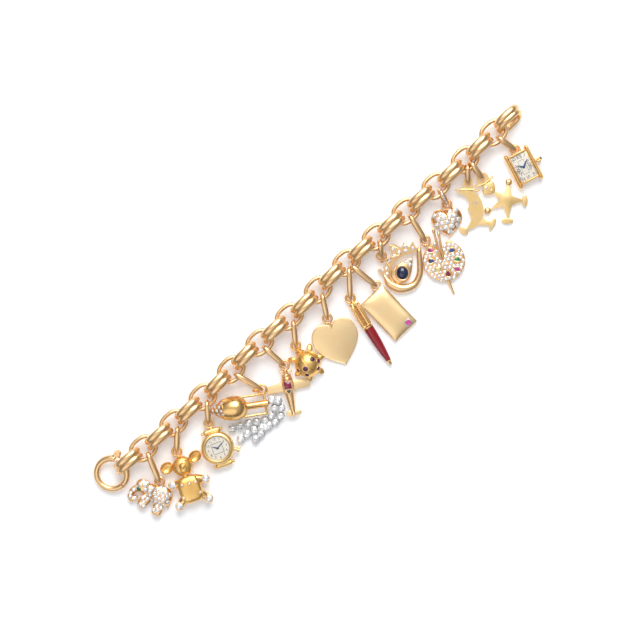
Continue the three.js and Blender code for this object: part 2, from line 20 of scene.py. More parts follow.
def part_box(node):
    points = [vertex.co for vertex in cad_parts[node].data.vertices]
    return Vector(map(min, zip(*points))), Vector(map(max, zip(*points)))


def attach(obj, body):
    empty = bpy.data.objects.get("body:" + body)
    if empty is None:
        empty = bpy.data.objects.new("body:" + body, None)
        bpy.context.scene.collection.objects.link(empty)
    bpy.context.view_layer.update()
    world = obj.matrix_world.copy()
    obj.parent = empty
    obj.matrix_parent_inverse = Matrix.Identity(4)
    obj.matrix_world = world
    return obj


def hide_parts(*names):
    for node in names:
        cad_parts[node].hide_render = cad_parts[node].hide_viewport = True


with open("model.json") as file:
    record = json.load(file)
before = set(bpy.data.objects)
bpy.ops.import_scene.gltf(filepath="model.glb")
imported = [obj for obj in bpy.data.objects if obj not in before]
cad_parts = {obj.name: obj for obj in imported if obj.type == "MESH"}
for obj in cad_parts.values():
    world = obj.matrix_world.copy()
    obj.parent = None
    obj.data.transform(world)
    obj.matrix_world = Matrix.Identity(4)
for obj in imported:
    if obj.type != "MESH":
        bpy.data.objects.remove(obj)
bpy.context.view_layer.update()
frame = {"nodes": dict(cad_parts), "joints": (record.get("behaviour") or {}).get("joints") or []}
MM = 0.001
print("frame nodes:", len(frame["nodes"]))

# %% [markdown]
# ## Camera
#
# The view is straight down from far away through a long lens, so that nothing is foreshortened. The camera is
# turned about its own axis: the chain then climbs from the lower left to the upper right.

# %% Camera
CLIMB = 42  # degrees that the chain climbs across the view
VIEW_WIDTH = 211.84  # mm across the view
CAMERA_HEIGHT = 1200
VIEW_CENTRE = (-2.35, 6.13)  # from the middle of the bracelet's box

lens = bpy.data.cameras.new("camera")
lens.sensor_width = 36
lens.lens = 36 * CAMERA_HEIGHT / VIEW_WIDTH
lens.clip_end = 10
camera = bpy.data.objects.new("camera", lens)
camera.location = Vector((*VIEW_CENTRE, CAMERA_HEIGHT)) * MM
camera.rotation_euler = (0, 0, radians(-CLIMB))
bpy.context.scene.collection.objects.link(camera)
bpy.context.scene.camera = camera

# %% [markdown]
# ## Shapes as arrays
#
# A shape is a pair: its points as an array, in millimetres, and its faces as lists of point numbers. Grids of
# points make rings, tubes and domes. They are plain functions, so a piece is the sum of a few of them.

# %% Grids, joins and moves
def unit(v):
    return v / np.maximum(np.linalg.norm(v, axis=-1, keepdims=True), 1e-12)


def signed_power(value, exponent):
    return np.sign(value) * np.abs(value) ** exponent


def grid(points, wrap_rows=False, wrap_columns=True):
    """Quads between neighbours of a (rows, columns, 3) array; wrapping joins the last to the first."""
    rows, columns = points.shape[:2]
    r, c = np.meshgrid(
        np.arange(rows if wrap_rows else rows - 1),
        np.arange(columns if wrap_columns else columns - 1),
        indexing="ij",
    )
    after_r, after_c = (r + 1) % rows, (c + 1) % columns
    corners = [r * columns + c, after_r * columns + c, after_r * columns + after_c, r * columns + after_c]
    return points.reshape(-1, 3), np.stack(corners, axis=-1).reshape(-1, 4).tolist()


def joined(*shapes):
    """One shape of several: each one's face numbers move up by the points before it."""
    starts = np.cumsum([0] + [len(points) for points, _ in shapes])
    faces = [[start + i for i in face] for start, (_, fs) in zip(starts, shapes) for face in fs]
    return np.concatenate([points for points, _ in shapes]), faces


def moved(shape, at=(0, 0, 0), turn=(0, 0, 0)):
    """The shape turned by degrees about X, Y and Z in that order, then shifted."""
    spin = np.array(Euler([radians(angle) for angle in turn]).to_matrix())
    return shape[0] @ spin.T + np.array(at, float), shape[1]


def through(shape, matrix):
    """The shape carried by a 4 by 4 matrix."""
    m = np.array(matrix)
    return shape[0] @ m[:3, :3].T + m[:3, 3], shape[1]


# %% Rings, tubes, turned shapes and domes
def wire_ring(half_length, half_width, squareness, radial, end, middle, rounds=88, sides=18):
    """A closed wire lying flat. Its centre line is the superellipse |x/a|^n + |y/b|^n = 1, and its section
    an oval, `radial` thick in the ring's plane and swelling from `end` to `middle` on the long bars."""
    along = np.linspace(0, 2 * pi, rounds, endpoint=False)[:, None]
    around = np.linspace(0, 2 * pi, sides, endpoint=False)[None, :]
    a, b = half_length - radial, half_width - radial
    x = a * signed_power(np.cos(along), 2 / squareness)
    y = b * signed_power(np.sin(along), 2 / squareness)
    outward = unit(np.concatenate([
        signed_power(x / a, squareness - 1) / a, signed_power(y / b, squareness - 1) / b], axis=1))
    x = x + outward[:, :1] * radial * np.cos(around)
    y = y + outward[:, 1:] * radial * np.cos(around)
    z = (end + (middle - end) * np.sin(along) ** 2) * np.sin(around)
    return grid(np.stack([x, y, z], axis=-1), wrap_rows=True)


def curve(points, count=48, closed=False):
    """A smooth line through the points, as cubic arcs whose slope at each point is that of its neighbours."""
    p = np.array(points, float)
    if p.shape[1] == 2:
        p = np.column_stack([p, np.zeros(len(p))])
    before, beyond = (p[-1:], p[:2]) if closed else (2 * p[:1] - p[1:2], 2 * p[-1:] - p[-2:-1])
    q = np.concatenate([before, p, beyond])
    spans = len(p) if closed else len(p) - 1
    t = np.linspace(0, spans, count, endpoint=not closed)
    i = np.minimum(t.astype(int), spans - 1)
    f = (t - i)[:, None]
    a, b, c, d = q[i], q[i + 1], q[i + 2], q[i + 3]
    return 0.5 * (2 * b + (c - a) * f + (2 * a - 5 * b + 4 * c - d) * f**2 + (3 * b - a - 3 * c + d) * f**3)


def tube(path, radius, tall=1.0, sides=16, closed=False, up=(0, 0, 1)):
    """Circles set square to a path and stretched by `tall` towards `up`. Open ends are round: further circles
    shrink there as a quarter circle does."""
    path = np.array(path, float)
    radius = np.array(np.broadcast_to(radius, len(path)), float)
    if closed:
        way = unit(np.roll(path, -1, axis=0) - np.roll(path, 1, axis=0))
    else:
        cap = np.linspace(0, pi / 2, 6)[1:]
        first, last = unit(path[0] - path[1]), unit(path[-1] - path[-2])
        before = path[0] + first * radius[0] * np.sin(cap)[::-1, None]
        beyond = path[-1] + last * radius[-1] * np.sin(cap)[:, None]
        start_way, end_way = np.repeat(-first[None], 5, 0), np.repeat(last[None], 5, 0)
        way = np.concatenate([start_way, unit(np.gradient(path, axis=0)), end_way])
        path = np.concatenate([before, path, beyond])
        radius = np.concatenate([radius[0] * np.cos(cap)[::-1], radius, radius[-1] * np.cos(cap)])
    side = unit(np.cross(way, np.array(up, float)))
    top = np.cross(side, way)
    around = np.linspace(0, 2 * pi, sides, endpoint=False)[None, :, None]
    section = side[:, None] * np.cos(around) + tall * top[:, None] * np.sin(around)
    return grid(path[:, None] + radius[:, None, None] * section, wrap_rows=closed)


def rod(start, end, radius, end_radius=None, tall=1.0, sides=16, up=(0, 0, 1)):
    """A straight tube between two points, with its own radius at each end."""
    share = np.linspace(0, 1, 8)[:, None]
    path = np.array(start, float) * (1 - share) + np.array(end, float) * share
    radii = radius + ((radius if end_radius is None else end_radius) - radius) * share[:, 0]
    return tube(path, radii, tall, sides, up=up)


def turned(rows, at=(0, 0, 0), flutes=0, depth=0.0, sides=40):
    """A body turned about an axis along -Y, from rows of (distance along the axis, radius). Flutes wave the
    radius by `depth` as a cosine of the angle does."""
    rows = np.array([(rows[0][0], 0), *rows, (rows[-1][0], 0)], float)
    around = np.linspace(0, 2 * pi, sides * max(1, flutes // 6), endpoint=False)[None, :]
    radius = rows[:, 1:] * (1 + depth * np.cos(flutes * around))
    y = np.broadcast_to(-rows[:, :1], radius.shape)
    return moved(grid(np.stack([radius * np.cos(around), y, radius * np.sin(around)], axis=-1)), at)


def standing(rows, at=(0, 0, 0), stretch=(1, 1), sides=40):
    """A body turned about the vertical, from rows of (radius, height)."""
    rows = np.array([(0, rows[0][1]), *rows, (0, rows[-1][1])], float)
    around = np.linspace(0, 2 * pi, sides, endpoint=False)[None, :]
    x, y = rows[:, :1] * np.cos(around) * stretch[0], rows[:, :1] * np.sin(around) * stretch[1]
    return moved(grid(np.stack([x, y, np.broadcast_to(rows[:, 1:], x.shape)], axis=-1)), at)


def oval(at, size, turn=(0, 0, 0), squareness=2.0, rows=24, columns=32):
    """A superellipsoid: a ball with half sizes `size` whose corners fill out as squareness grows past 2."""
    down = np.linspace(-pi / 2, pi / 2, rows)[:, None]
    round_ = np.linspace(0, 2 * pi, columns, endpoint=False)[None, :]
    n = 2 / squareness
    x = size[0] * signed_power(np.cos(down), n) * signed_power(np.cos(round_), n)
    y = size[1] * signed_power(np.cos(down), n) * signed_power(np.sin(round_), n)
    z = size[2] * signed_power(np.sin(down), n) * np.ones_like(round_)
    return moved(grid(np.stack([x, y, z], axis=-1)), at, turn)


def block(at, size, turn=(0, 0, 0), edge=7.0):
    """A box with softly rounded edges: a superellipsoid of high squareness."""
    return oval(at, [s / 2 for s in size], turn, edge, rows=28, columns=36)


def inset(outline, by):
    """The outline (n, 2) moved inwards: each point shifts along the mean of its two edges' normals."""
    edge = unit(np.roll(outline, -1, axis=0) - outline)
    normal = np.column_stack([-edge[:, 1], edge[:, 0]])
    area = np.sum(outline[:, 0] * np.roll(outline[:, 1], -1) - outline[:, 1] * np.roll(outline[:, 0], -1))
    return outline + by * np.sign(area) * unit(normal + np.roll(normal, 1, axis=0))


def plate(outline, low, high, edge=0.15):
    """A flat plate of any outline, its top and bottom edges rounded by a quarter circle."""
    flat = np.array(outline, float)[:, :2]
    quarter = np.linspace(0, pi / 2, 4)
    steps = [(edge * (1 - sin(a)), low + edge * (1 - cos(a))) for a in quarter]
    steps += [(edge * (1 - cos(a)), high - edge * (1 - sin(a))) for a in quarter]
    rings = np.stack([np.column_stack([inset(flat, by), np.full(len(flat), z)]) for by, z in steps])
    points, faces = grid(rings)
    count = len(flat)
    return points, faces + [list(range(count))[::-1], list(range(len(points) - count, len(points)))]


class Cushion:
    """A crowned plate whose outline is seen whole from its centre. Its height at a point falls from `high`
    to `brim` as 1 - share^fullness, where share is how far out the point is on its own ray."""

    def __init__(self, outline, centre, low, brim, high, fullness=2.4):
        self.centre, self.fullness = np.array(centre, float), fullness
        self.low, self.brim, self.high = low, brim, high
        self.rays = np.array(outline, float)[:, :2] - self.centre

    def shape(self):
        share = np.concatenate([np.linspace(0, 0.9, 12), [0.95, 0.98, 0.995]])
        rows = [(s, self.brim + (self.high - self.brim) * (1 - s**self.fullness) ** 0.7) for s in share]
        rows += [(1.0, self.brim - 0.08), (1.0, self.low + 0.12), (0.985, self.low), (0, self.low)]
        s, z = np.array(rows).T
        flat = self.centre + s[:, None, None] * self.rays[None]
        return grid(np.concatenate([flat, np.broadcast_to(z[:, None, None], flat.shape[:2] + (1,))], axis=-1))


# %% Cut stones and beads
def many(base, places, sizes, normals, spins):
    """Copies of one small shape as joined arrays: each is scaled, spun, tipped to its normal and shifted."""
    points, faces = base
    places, normals = np.array(places, float), unit(np.array(normals, float))
    heading = np.column_stack([np.cos(spins), np.sin(spins), np.zeros(len(spins))])
    side = unit(np.cross(normals, heading + 1e-6))
    axes = np.stack([side, np.cross(normals, side), normals], axis=-1)
    spread = np.einsum("nij,pj->npi", axes, points) * np.reshape(sizes, (-1, 1, 1)) + places[:, None]
    starts = np.arange(len(places)) * len(points)
    return spread.reshape(-1, 3), [[int(start) + i for i in face] for start in starts for face in faces]


def faceted(outline, crown=0.32, depth=0.5, table=0.56):
    """A cut stone on a girdle outline: the table is the outline shrunk and raised, and a point lies below."""
    girdle = np.array(outline, float)[:, :2]
    count = len(girdle)
    star = table * (girdle + np.roll(girdle, -1, axis=0)) / 2
    points = np.concatenate([
        np.column_stack([girdle, np.zeros(count)]),
        np.column_stack([star, np.full(count, crown)]),
        [[0, 0, -depth]],
    ])
    faces = [list(range(count, 2 * count))]
    for i in range(count):
        after = (i + 1) % count
        faces += [[i, after, count + i], [after, count + after, count + i], [after, i, 2 * count]]
    return points, faces


def circle(radius=1.0, count=8, stretch=1.0, centre=(0, 0)):
    angle = np.linspace(0, 2 * pi, count, endpoint=False)
    return np.column_stack([centre[0] + radius * np.cos(angle), centre[1] + radius * stretch * np.sin(angle)])


SQUARE = np.array([(-1, -1), (1, -1), (1, 1), (-1, 1)])
BRILLIANT = faceted(circle(1.0, 8))
BEAD = oval((0, 0, 0), (1, 1, 1), rows=5, columns=6)
dice = np.random.default_rng(7)


def brilliants(places, radii, normals=None, wobble=0.16):
    """Round stones with a small chance tilt, so that no two glitter alike."""
    places = np.array(places, float)
    normals = np.tile((0, 0, 1.0), (len(places), 1)) if normals is None else np.array(normals, float)
    tipped = normals + dice.normal(0, wobble, normals.shape) * (1, 1, 0)
    spins = dice.uniform(0, 2 * pi, len(places))
    return many(BRILLIANT, places, np.broadcast_to(radii, len(places)), tipped, spins)


def beads(places, radii, normals=None):
    places = np.array(places, float)
    normals = np.tile((0, 0, 1.0), (len(places), 1)) if normals is None else normals
    return many(BEAD, places, np.broadcast_to(radii, len(places)), normals, np.zeros(len(places)))


def collet(at, radius, depth=0.9, normal=(0, 0, 1)):
    """A stone's cup: an upright ring with four small claws round the girdle."""
    wall = [(radius * 0.55, -depth), (radius * 0.95, -0.35), (radius * 1.08, 0.05), (radius * 0.9, 0.1),
            (radius * 0.86, -0.2)]
    ring = standing(wall, sides=20)
    angle = np.arange(4) * pi / 2 + pi / 4
    claw_places = np.column_stack([radius * np.cos(angle), radius * np.sin(angle), np.full(4, 0.12)])
    claws = beads(claw_places, 0.2 * radius)
    tip = Vector(normal).to_track_quat("Z", "Y").to_matrix()
    points, faces = joined(ring, claws)
    return points @ np.array(tip).T + np.array(at, float), faces


def on_top(shape, flat):
    """Where points (n, 2) land when they are dropped on a shape: hit or not, place and normal."""
    tree = BVHTree.FromPolygons(shape[0].tolist(), shape[1])
    hits = [tree.ray_cast((x, y, 50), (0, 0, -1)) for x, y in flat]
    found = np.array([hit[0] is not None for hit in hits])
    place = np.array([hit[0] or (0, 0, 0) for hit in hits], float)
    normal = np.array([hit[1] or (0, 0, 1) for hit in hits], float)
    return found, place, normal * np.where(normal[:, 2:] < 0, -1, 1)


def honeycomb(low, high, pitch, turn=0.0):
    """Points of a triangular lattice over a rectangle, turned by some degrees about its middle."""
    span = np.linalg.norm(np.subtract(high, low))
    steps = np.arange(-int(span / pitch), int(span / pitch) + 1)
    i, j = np.meshgrid(steps, steps, indexing="ij")
    x, y = ((i + 0.5 * j) * pitch).ravel(), (j * pitch * 0.866).ravel()
    c, s = cos(radians(turn)), sin(radians(turn))
    return np.column_stack([x * c - y * s, x * s + y * c]) + (np.array(low) + np.array(high)) / 2


def pave(shape, pitch, radius, margin=0.85, keep_off=(), turn=0.0, sunk=0.05):
    """Stones set close over a shape's top in a honeycomb, with a gold bead in each gap between three.
    A place is used if a ring about it still lands on the shape, and if nothing in keep_off is near."""
    low, high = shape[0][:, :2].min(0), shape[0][:, :2].max(0)
    spots = honeycomb(low, high, pitch, turn)
    free = np.ones(len(spots), bool)
    for x, y, reach in keep_off:
        free &= np.hypot(spots[:, 0] - x, spots[:, 1] - y) > reach
    spots = spots[free]
    ring = circle(radius * margin, 6)
    found, place, normal = on_top(shape, spots)
    held = on_top(shape, (spots[:, None] + ring[None]).reshape(-1, 2))
    around = held[0].reshape(-1, 6).all(1) & (np.ptp(held[1][:, 2].reshape(-1, 6), axis=1) < 2.2 * radius)
    good = found & around & (normal[:, 2] > 0.35)
    place, normal = place[good], normal[good]
    stones = brilliants(place - normal * sunk, radius, normal, 0.1)
    # A sixth of a turn separates a stone's gaps, and a twelfth sets them between its neighbours.
    towards_gaps = circle(pitch / 3**0.5, 6)[None] @ [[0.866, 0.5], [-0.5, 0.866]]
    gaps = (spots[good][:, None] + towards_gaps).reshape(-1, 2)
    spare, gap_place, gap_normal = on_top(shape, gaps)
    return stones, beads(gap_place[spare], radius * 0.22, gap_normal[spare]), int(good.sum())

# %% [markdown]
# ## Finishes
#
# A finish is a node tree written as sums. One small class wraps a socket so that `1 - mask * 0.3` adds its
# Math nodes, and one method makes every other node from its type, its settings and what its sockets take.

# %% A socket that does sums
class Wire:
    def __init__(self, finish, socket):
        self.finish, self.socket = finish, socket

    def sum(self, operation, a, b=None):
        inputs = {0: a} if b is None else {0: a, 1: b}
        return self.finish.node("ShaderNodeMath", {"operation": operation}, inputs)

    def __add__(self, other):
        return self.sum("ADD", self, other)

    def __radd__(self, other):
        return self.sum("ADD", other, self)

    def __sub__(self, other):
        return self.sum("SUBTRACT", self, other)

    def __rsub__(self, other):
        return self.sum("SUBTRACT", other, self)

    def __mul__(self, other):
        return self.sum("MULTIPLY", self, other)

    def __rmul__(self, other):
        return self.sum("MULTIPLY", other, self)


# %% A finish: one material and its node tree
class Finish:
    def __init__(self, name):
        self.material = bpy.data.materials.new(name)
        self.material.use_nodes = True
        self.tree = self.material.node_tree
        self.tree.nodes.clear()
        self.place = self.node("ShaderNodeTexCoord", {}, {}, "Object")

    def node(self, kind, settings, inputs, output=0):
        """Adds a node: settings first, a ramp's stops among them, then the value or link of each socket."""
        node = self.tree.nodes.new(kind)
        for name, value in settings.items():
            if name == "stops":
                for i, (position, colour) in enumerate(value):
                    stop = node.color_ramp.elements[i] if i < 2 else node.color_ramp.elements.new(position)
                    stop.position, stop.color = position, (*colour, 1)
            else:
                setattr(node, name, value)
        for key, value in inputs.items():
            if isinstance(value, Wire):
                self.tree.links.new(value.socket, node.inputs[key])
            elif isinstance(value, tuple) and len(value) == 3 and node.inputs[key].type == "RGBA":
                node.inputs[key].default_value = (*value, 1)
            else:
                node.inputs[key].default_value = value
        return Wire(self, node.outputs[output]) if node.outputs else node

    def noise(self, scale, detail=2.0, place=None):
        """Smooth chance from 0 to 1, with `scale` features to a metre."""
        inputs = {"Vector": place or self.place, "Scale": scale, "Detail": detail}
        return self.node("ShaderNodeTexNoise", {}, inputs, "Fac")

    def ramp(self, value, *stops):
        return self.node("ShaderNodeValToRGB", {"stops": stops}, {"Fac": value}, "Color")

    def bump(self, height, strength, distance):
        return self.node("ShaderNodeBump", {}, {"Height": height, "Strength": strength, "Distance": distance})

    def surface(self, **sockets):
        """Closes the tree with one Principled shader; underscores in the names stand for spaces."""
        named = {name.replace("_", " "): value for name, value in sockets.items()}
        shader = self.node("ShaderNodeBsdfPrincipled", {}, named)
        self.node("ShaderNodeOutputMaterial", {}, {"Surface": shader})
        return self.material


# %% Gold, polished, satin and brushed
def gold(name, light, deep, roughness, grain=0.06, brushed=None):
    """Cast gold: its colour drifts between two tones over a few millimetres, its gloss is uneven from wear,
    and a fine grain breaks the reflections. `brushed` is the heading of long fine scratches, in degrees."""
    f = Finish(name)
    drift = f.noise(260, 3)
    wear = f.noise(1500, 4)
    colour = f.ramp(drift, (0.3, deep), (0.7, light))
    texture = f.noise(9000, 3)
    if brushed is not None:
        turned_place = f.node("ShaderNodeMapping", {}, {
            "Vector": f.place, "Rotation": (0, 0, radians(-brushed)), "Scale": (0.08, 1.0, 1.0)})
        texture = f.noise(14000, 2, turned_place)
    return f.surface(
        Base_Color=colour,
        Metallic=1.0,
        Roughness=roughness - 0.05 + wear * 0.1,
        Normal=f.bump(texture, grain, 0.00003),
    )


POLISHED = gold("polished_gold", (0.98, 0.68, 0.37), (0.90, 0.58, 0.29), 0.33)
SATIN_YELLOW = gold("satin_yellow_gold", (1.0, 0.73, 0.36), (0.95, 0.66, 0.28), 0.4, 0.25, brushed=30)
PALE = gold("satin_pale_gold", (1.0, 0.77, 0.44), (1.0, 0.71, 0.37), 0.38, 0.1)
DEEP = gold("brushed_deep_gold", (1.0, 0.66, 0.25), (0.90, 0.54, 0.17), 0.38, 0.25, brushed=70)
BRIGHT_DEEP = gold("polished_deep_gold", (1.0, 0.65, 0.28), (0.9, 0.54, 0.2), 0.28)
SETTING = gold("pave_gold", (1.0, 0.66, 0.34), (0.88, 0.54, 0.26), 0.28)
WHITE_METAL = gold("white_metal", (0.6, 0.59, 0.57), (0.46, 0.45, 0.44), 0.3)


# %% Stones, dials and enamel
def stone(name, light, deep, scale=1400, metallic=0.0, coat=0.25, roughness=0.08):
    """A cut stone: each facet cell takes a tone between deep and light, under a hard clear polish."""
    f = Finish(name)
    cells = f.node("ShaderNodeTexVoronoi", {"feature": "F1"}, {"Vector": f.place, "Scale": scale}, "Color")
    shade = f.node("ShaderNodeSeparateColor", {}, {"Color": cells}, "Red")
    return f.surface(
        Base_Color=f.ramp(shade, (0.15, deep), (0.75, light)),
        Metallic=metallic,
        Roughness=roughness,
        Coat_Weight=coat,
        IOR=1.6,
    )


DIAMOND = stone("diamond", (1.0, 1.0, 1.0), (0.6, 0.61, 0.64), metallic=0.3, coat=0.8)
RUBY = stone("ruby", (0.28, 0.012, 0.06), (0.1, 0.0, 0.02), 1100)
DARK_RUBY = stone("dark_ruby", (0.1, 0.012, 0.05), (0.03, 0.004, 0.02), 700, coat=0.1)
SAPPHIRE = stone("sapphire", (0.04, 0.12, 0.42), (0.01, 0.03, 0.12), 1100)
NIGHT_SAPPHIRE = stone("cabochon_sapphire", (0.014, 0.03, 0.1), (0.004, 0.008, 0.03), 500)
EMERALD = stone("emerald", (0.02, 0.32, 0.12), (0.0, 0.1, 0.04), 1100)
PINK = stone("pink_sapphire", (0.7, 0.1, 0.36), (0.34, 0.02, 0.14), 1100)
YELLOW = stone("yellow_sapphire", (0.9, 0.8, 0.42), (0.62, 0.5, 0.2), 1100)


def enamel(name, light, deep, roughness=0.12, coat=0.8, scale=500):
    """A lacquered or enamelled surface: a faint cloudiness under a glossy coat."""
    f = Finish(name)
    clouds = f.noise(scale, 4)
    return f.surface(
        Base_Color=f.ramp(clouds, (0.3, deep), (0.7, light)),
        Roughness=roughness + clouds * 0.08,
        Coat_Weight=coat,
        Normal=f.bump(f.noise(6000), 0.05, 0.00002),
    )


RED_ENAMEL = enamel("red_enamel", (0.32, 0.007, 0.016), (0.25, 0.005, 0.012), 0.18, 0.3)
DIAL = enamel("cream_dial", (0.82, 0.77, 0.68), (0.72, 0.67, 0.58), 0.45, 0.2)
INK = enamel("dial_ink", (0.09, 0.08, 0.08), (0.05, 0.045, 0.045), 0.5, 0.0)
BLUED = enamel("blued_steel", (0.02, 0.09, 0.22), (0.012, 0.05, 0.14), 0.3, 0.3)


# %% One maker for every piece
def piece(name, shape, finish, body="root", stands_for=(), crease=38):
    mesh = bpy.data.meshes.new(name)
    mesh.from_pydata((shape[0] * MM).tolist(), [], shape[1])
    welded = bmesh.new()
    welded.from_mesh(mesh)
    bmesh.ops.remove_doubles(welded, verts=welded.verts, dist=2e-6)
    bmesh.ops.recalc_face_normals(welded, faces=welded.faces)
    welded.to_mesh(mesh)
    welded.free()
    mesh.shade_smooth()
    mesh.set_sharp_from_angle(angle=radians(crease))
    made = bpy.data.objects.new(name, mesh)
    bpy.context.scene.collection.objects.link(made)
    mesh.materials.append(finish)
    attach(made, body)
    if stands_for:
        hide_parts(*stands_for)
    return made


def middle_of(node):
    """The middle of a frame node's box, in millimetres."""
    low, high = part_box(node)
    return np.array((low + high) / 2) / MM


# %% [markdown]
# ## The chain
#
# A double link is two oval rings on edge, side by side, whose bars swell in the middle. A single link is one
# thinner ring lying flat. Each is placed by the middle of its own box in the frame, and its heading is that
# of the line between its neighbours. The last double link has nothing beyond it, so its rings lean over.

# %% Double and single links
DOUBLE = dict(half_length=5.3, half_width=4.0, squareness=2.35, radial=0.87, end=1.0, middle=1.3)
SINGLE = dict(half_length=4.95, half_width=4.15, squareness=2.5, radial=0.72, end=0.72, middle=0.72)
RING_SPACING = 1.98
RING_STAGGER = 0.2  # how far each ring of a pair is pushed along the chain
END_LEANS = (-8, -20)
DOUBLES = 14
doubles = np.array([middle_of(f"double_link_{i + 1:02d}") for i in range(DOUBLES)])
steps = np.diff(doubles, axis=0)
headings = np.degrees(np.arctan2(steps[:, 1], steps[:, 0]))
singles = np.array([middle_of(f"single_link_{i + 1:02d}") for i in range(DOUBLES - 1)])
LINK_LEVEL = singles[0, 2]


def seated(shape, node):
    """The shape with the middle of its box shifted to the middle of the node's box."""
    points = shape[0]
    return points + middle_of(node) - (points.min(0) + points.max(0)) / 2, shape[1]


for i in range(DOUBLES):
    node = f"double_link_{i + 1:02d}"
    leans = END_LEANS if i == DOUBLES - 1 else (0, 0)
    heading = (headings[max(i - 1, 0)] + headings[min(i, DOUBLES - 2)]) / 2
    rings = [
        moved(wire_ring(**DOUBLE), (side * RING_STAGGER, side * RING_SPACING / 2, 0), (90 + lean, 0, 0))
        for side, lean in zip((1, -1), leans)
    ]
    pair = seated(moved(joined(*rings), turn=(0, 0, heading)), node)
    piece(f"oval_pair_{i + 1:02d}", pair, POLISHED, stands_for=[node])

for i in range(DOUBLES - 1):
    node = f"single_link_{i + 1:02d}"
    ring = seated(moved(wire_ring(**SINGLE), turn=(0, 0, headings[i])), node)
    piece(f"oval_ring_{i + 1:02d}", ring, POLISHED, stands_for=[node])
print("chain:", DOUBLES, "pairs and", DOUBLES - 1, "rings")

# %% [markdown]
# ## The clasp
#
# The clasp is a round wire ring cut in two: a short fixed arc through the first link, and a long jaw that
# swings on a pin outside the ring. Its wire is thickest at the knuckle, and a slanting cut shows where the
# two meet. The ring leans, with its far side on the table and its near side up in the link.

# %% Clasp
CLASP_RADIUS = 5.15
CLASP_TILT = 15
KNUCKLE = 31  # degrees round the ring
MITRE = -87
MITRE_SLANT = 9
hinge = frame["joints"][0]
pin = np.array(hinge["pos_m"]) / MM
PIN_REACH = 7.1
tilt = Matrix.Rotation(radians(-CLASP_TILT), 4, "Y")
pin_local = Vector((PIN_REACH * cos(radians(KNUCKLE)), PIN_REACH * sin(radians(KNUCKLE)), 0))
clasp = Matrix.Translation(Vector(pin) - tilt @ pin_local) @ tilt


def clasp_wire(start, end, steps):
    """A length of the ring between two angles. Its wire's radius eases from 1.14 at the knuckle to 0.98
    on the far side, as the cosine of the angle between them does."""
    angle = np.radians(np.linspace(start, end, steps))
    path = CLASP_RADIUS * np.column_stack([np.cos(angle), np.sin(angle), np.zeros(steps)])
    away = (1 - np.cos(angle - radians(KNUCKLE))) / 2
    around = np.linspace(0, 2 * pi, 24, endpoint=False)
    radius = (1.14 - 0.16 * away)[:, None]
    # The end at the mitre is cut on a slant: its outer side reaches further round than its inner side.
    slant = np.radians(MITRE_SLANT) * np.clip(1 - np.abs(np.degrees(angle) - MITRE % 360) / 25, 0, 1)
    slant = slant + np.radians(MITRE_SLANT) * np.clip(1 - np.abs(np.degrees(angle) - MITRE) / 25, 0, 1)
    lag = slant[:, None] * np.cos(around)
    reach = CLASP_RADIUS + radius * np.cos(around)
    points = np.stack([reach * np.cos(angle[:, None] + lag), reach * np.sin(angle[:, None] + lag),
                       radius * np.sin(around)], axis=-1)
    ends = [np.repeat(points[k].mean(0)[None], 24, 0)[None] for k in (0, -1)]
    return grid(np.concatenate([ends[0], points, ends[1]]))


def knuckle(level, height):
    """A lug about the pin: a short drum with rounded edges and a dimple in its face."""
    half = height / 2
    rows = [(1.0, -half), (1.15, -half + 0.15), (1.15, half - 0.2), (1.0, half), (0.5, half),
            (0.38, half - 0.18), (0.1, half - 0.22)]
    return standing(rows, (pin_local.x, pin_local.y, level), sides=32)


def clasp_at(angle, radius, level):
    return radius * cos(radians(angle)), radius * sin(radians(angle)), level


fixed = joined(
    clasp_wire(MITRE + 3, KNUCKLE - 5, 40),
    knuckle(-0.65, 0.8),
    rod(clasp_at(KNUCKLE - 12, CLASP_RADIUS + 0.3, -0.6), (pin_local.x, pin_local.y, -0.65), 0.5, tall=0.75),
)
jaw = joined(
    clasp_wire(KNUCKLE + 4, MITRE + 357, 120),
    knuckle(0.5, 0.9),
    rod(clasp_at(KNUCKLE + 10, CLASP_RADIUS + 0.3, 0.45), (pin_local.x, pin_local.y, 0.5), 0.8, tall=0.6),
)
piece("clasp_fixed_wire", through(fixed, clasp), POLISHED, stands_for=["clasp_arc"])
piece("clasp_swinging_jaw", through(jaw, clasp), POLISHED, "clasp_jaw", ["clasp_jaw"])

# %% [markdown]
# ## Bails
#
# Each charm hangs on its own bail, an oval wire standing on edge between the link's wire and the charm's
# loop. The frame gives the middle of each bail, and its chain end is known from the link, so its charm end
# follows: that point is the middle of the charm's loop, and the whole charm is drawn from there.

# %% A charm's place and its bail
BAIL = dict(half_width=2.4, squareness=3.2, radial=0.55, end=0.6, middle=0.95)
BAIL_SLACK = 0.25
LOOP_RADIUS = 1.45  # of a charm's top loop, to the middle of its wire
LOOP_WIRE = 0.42


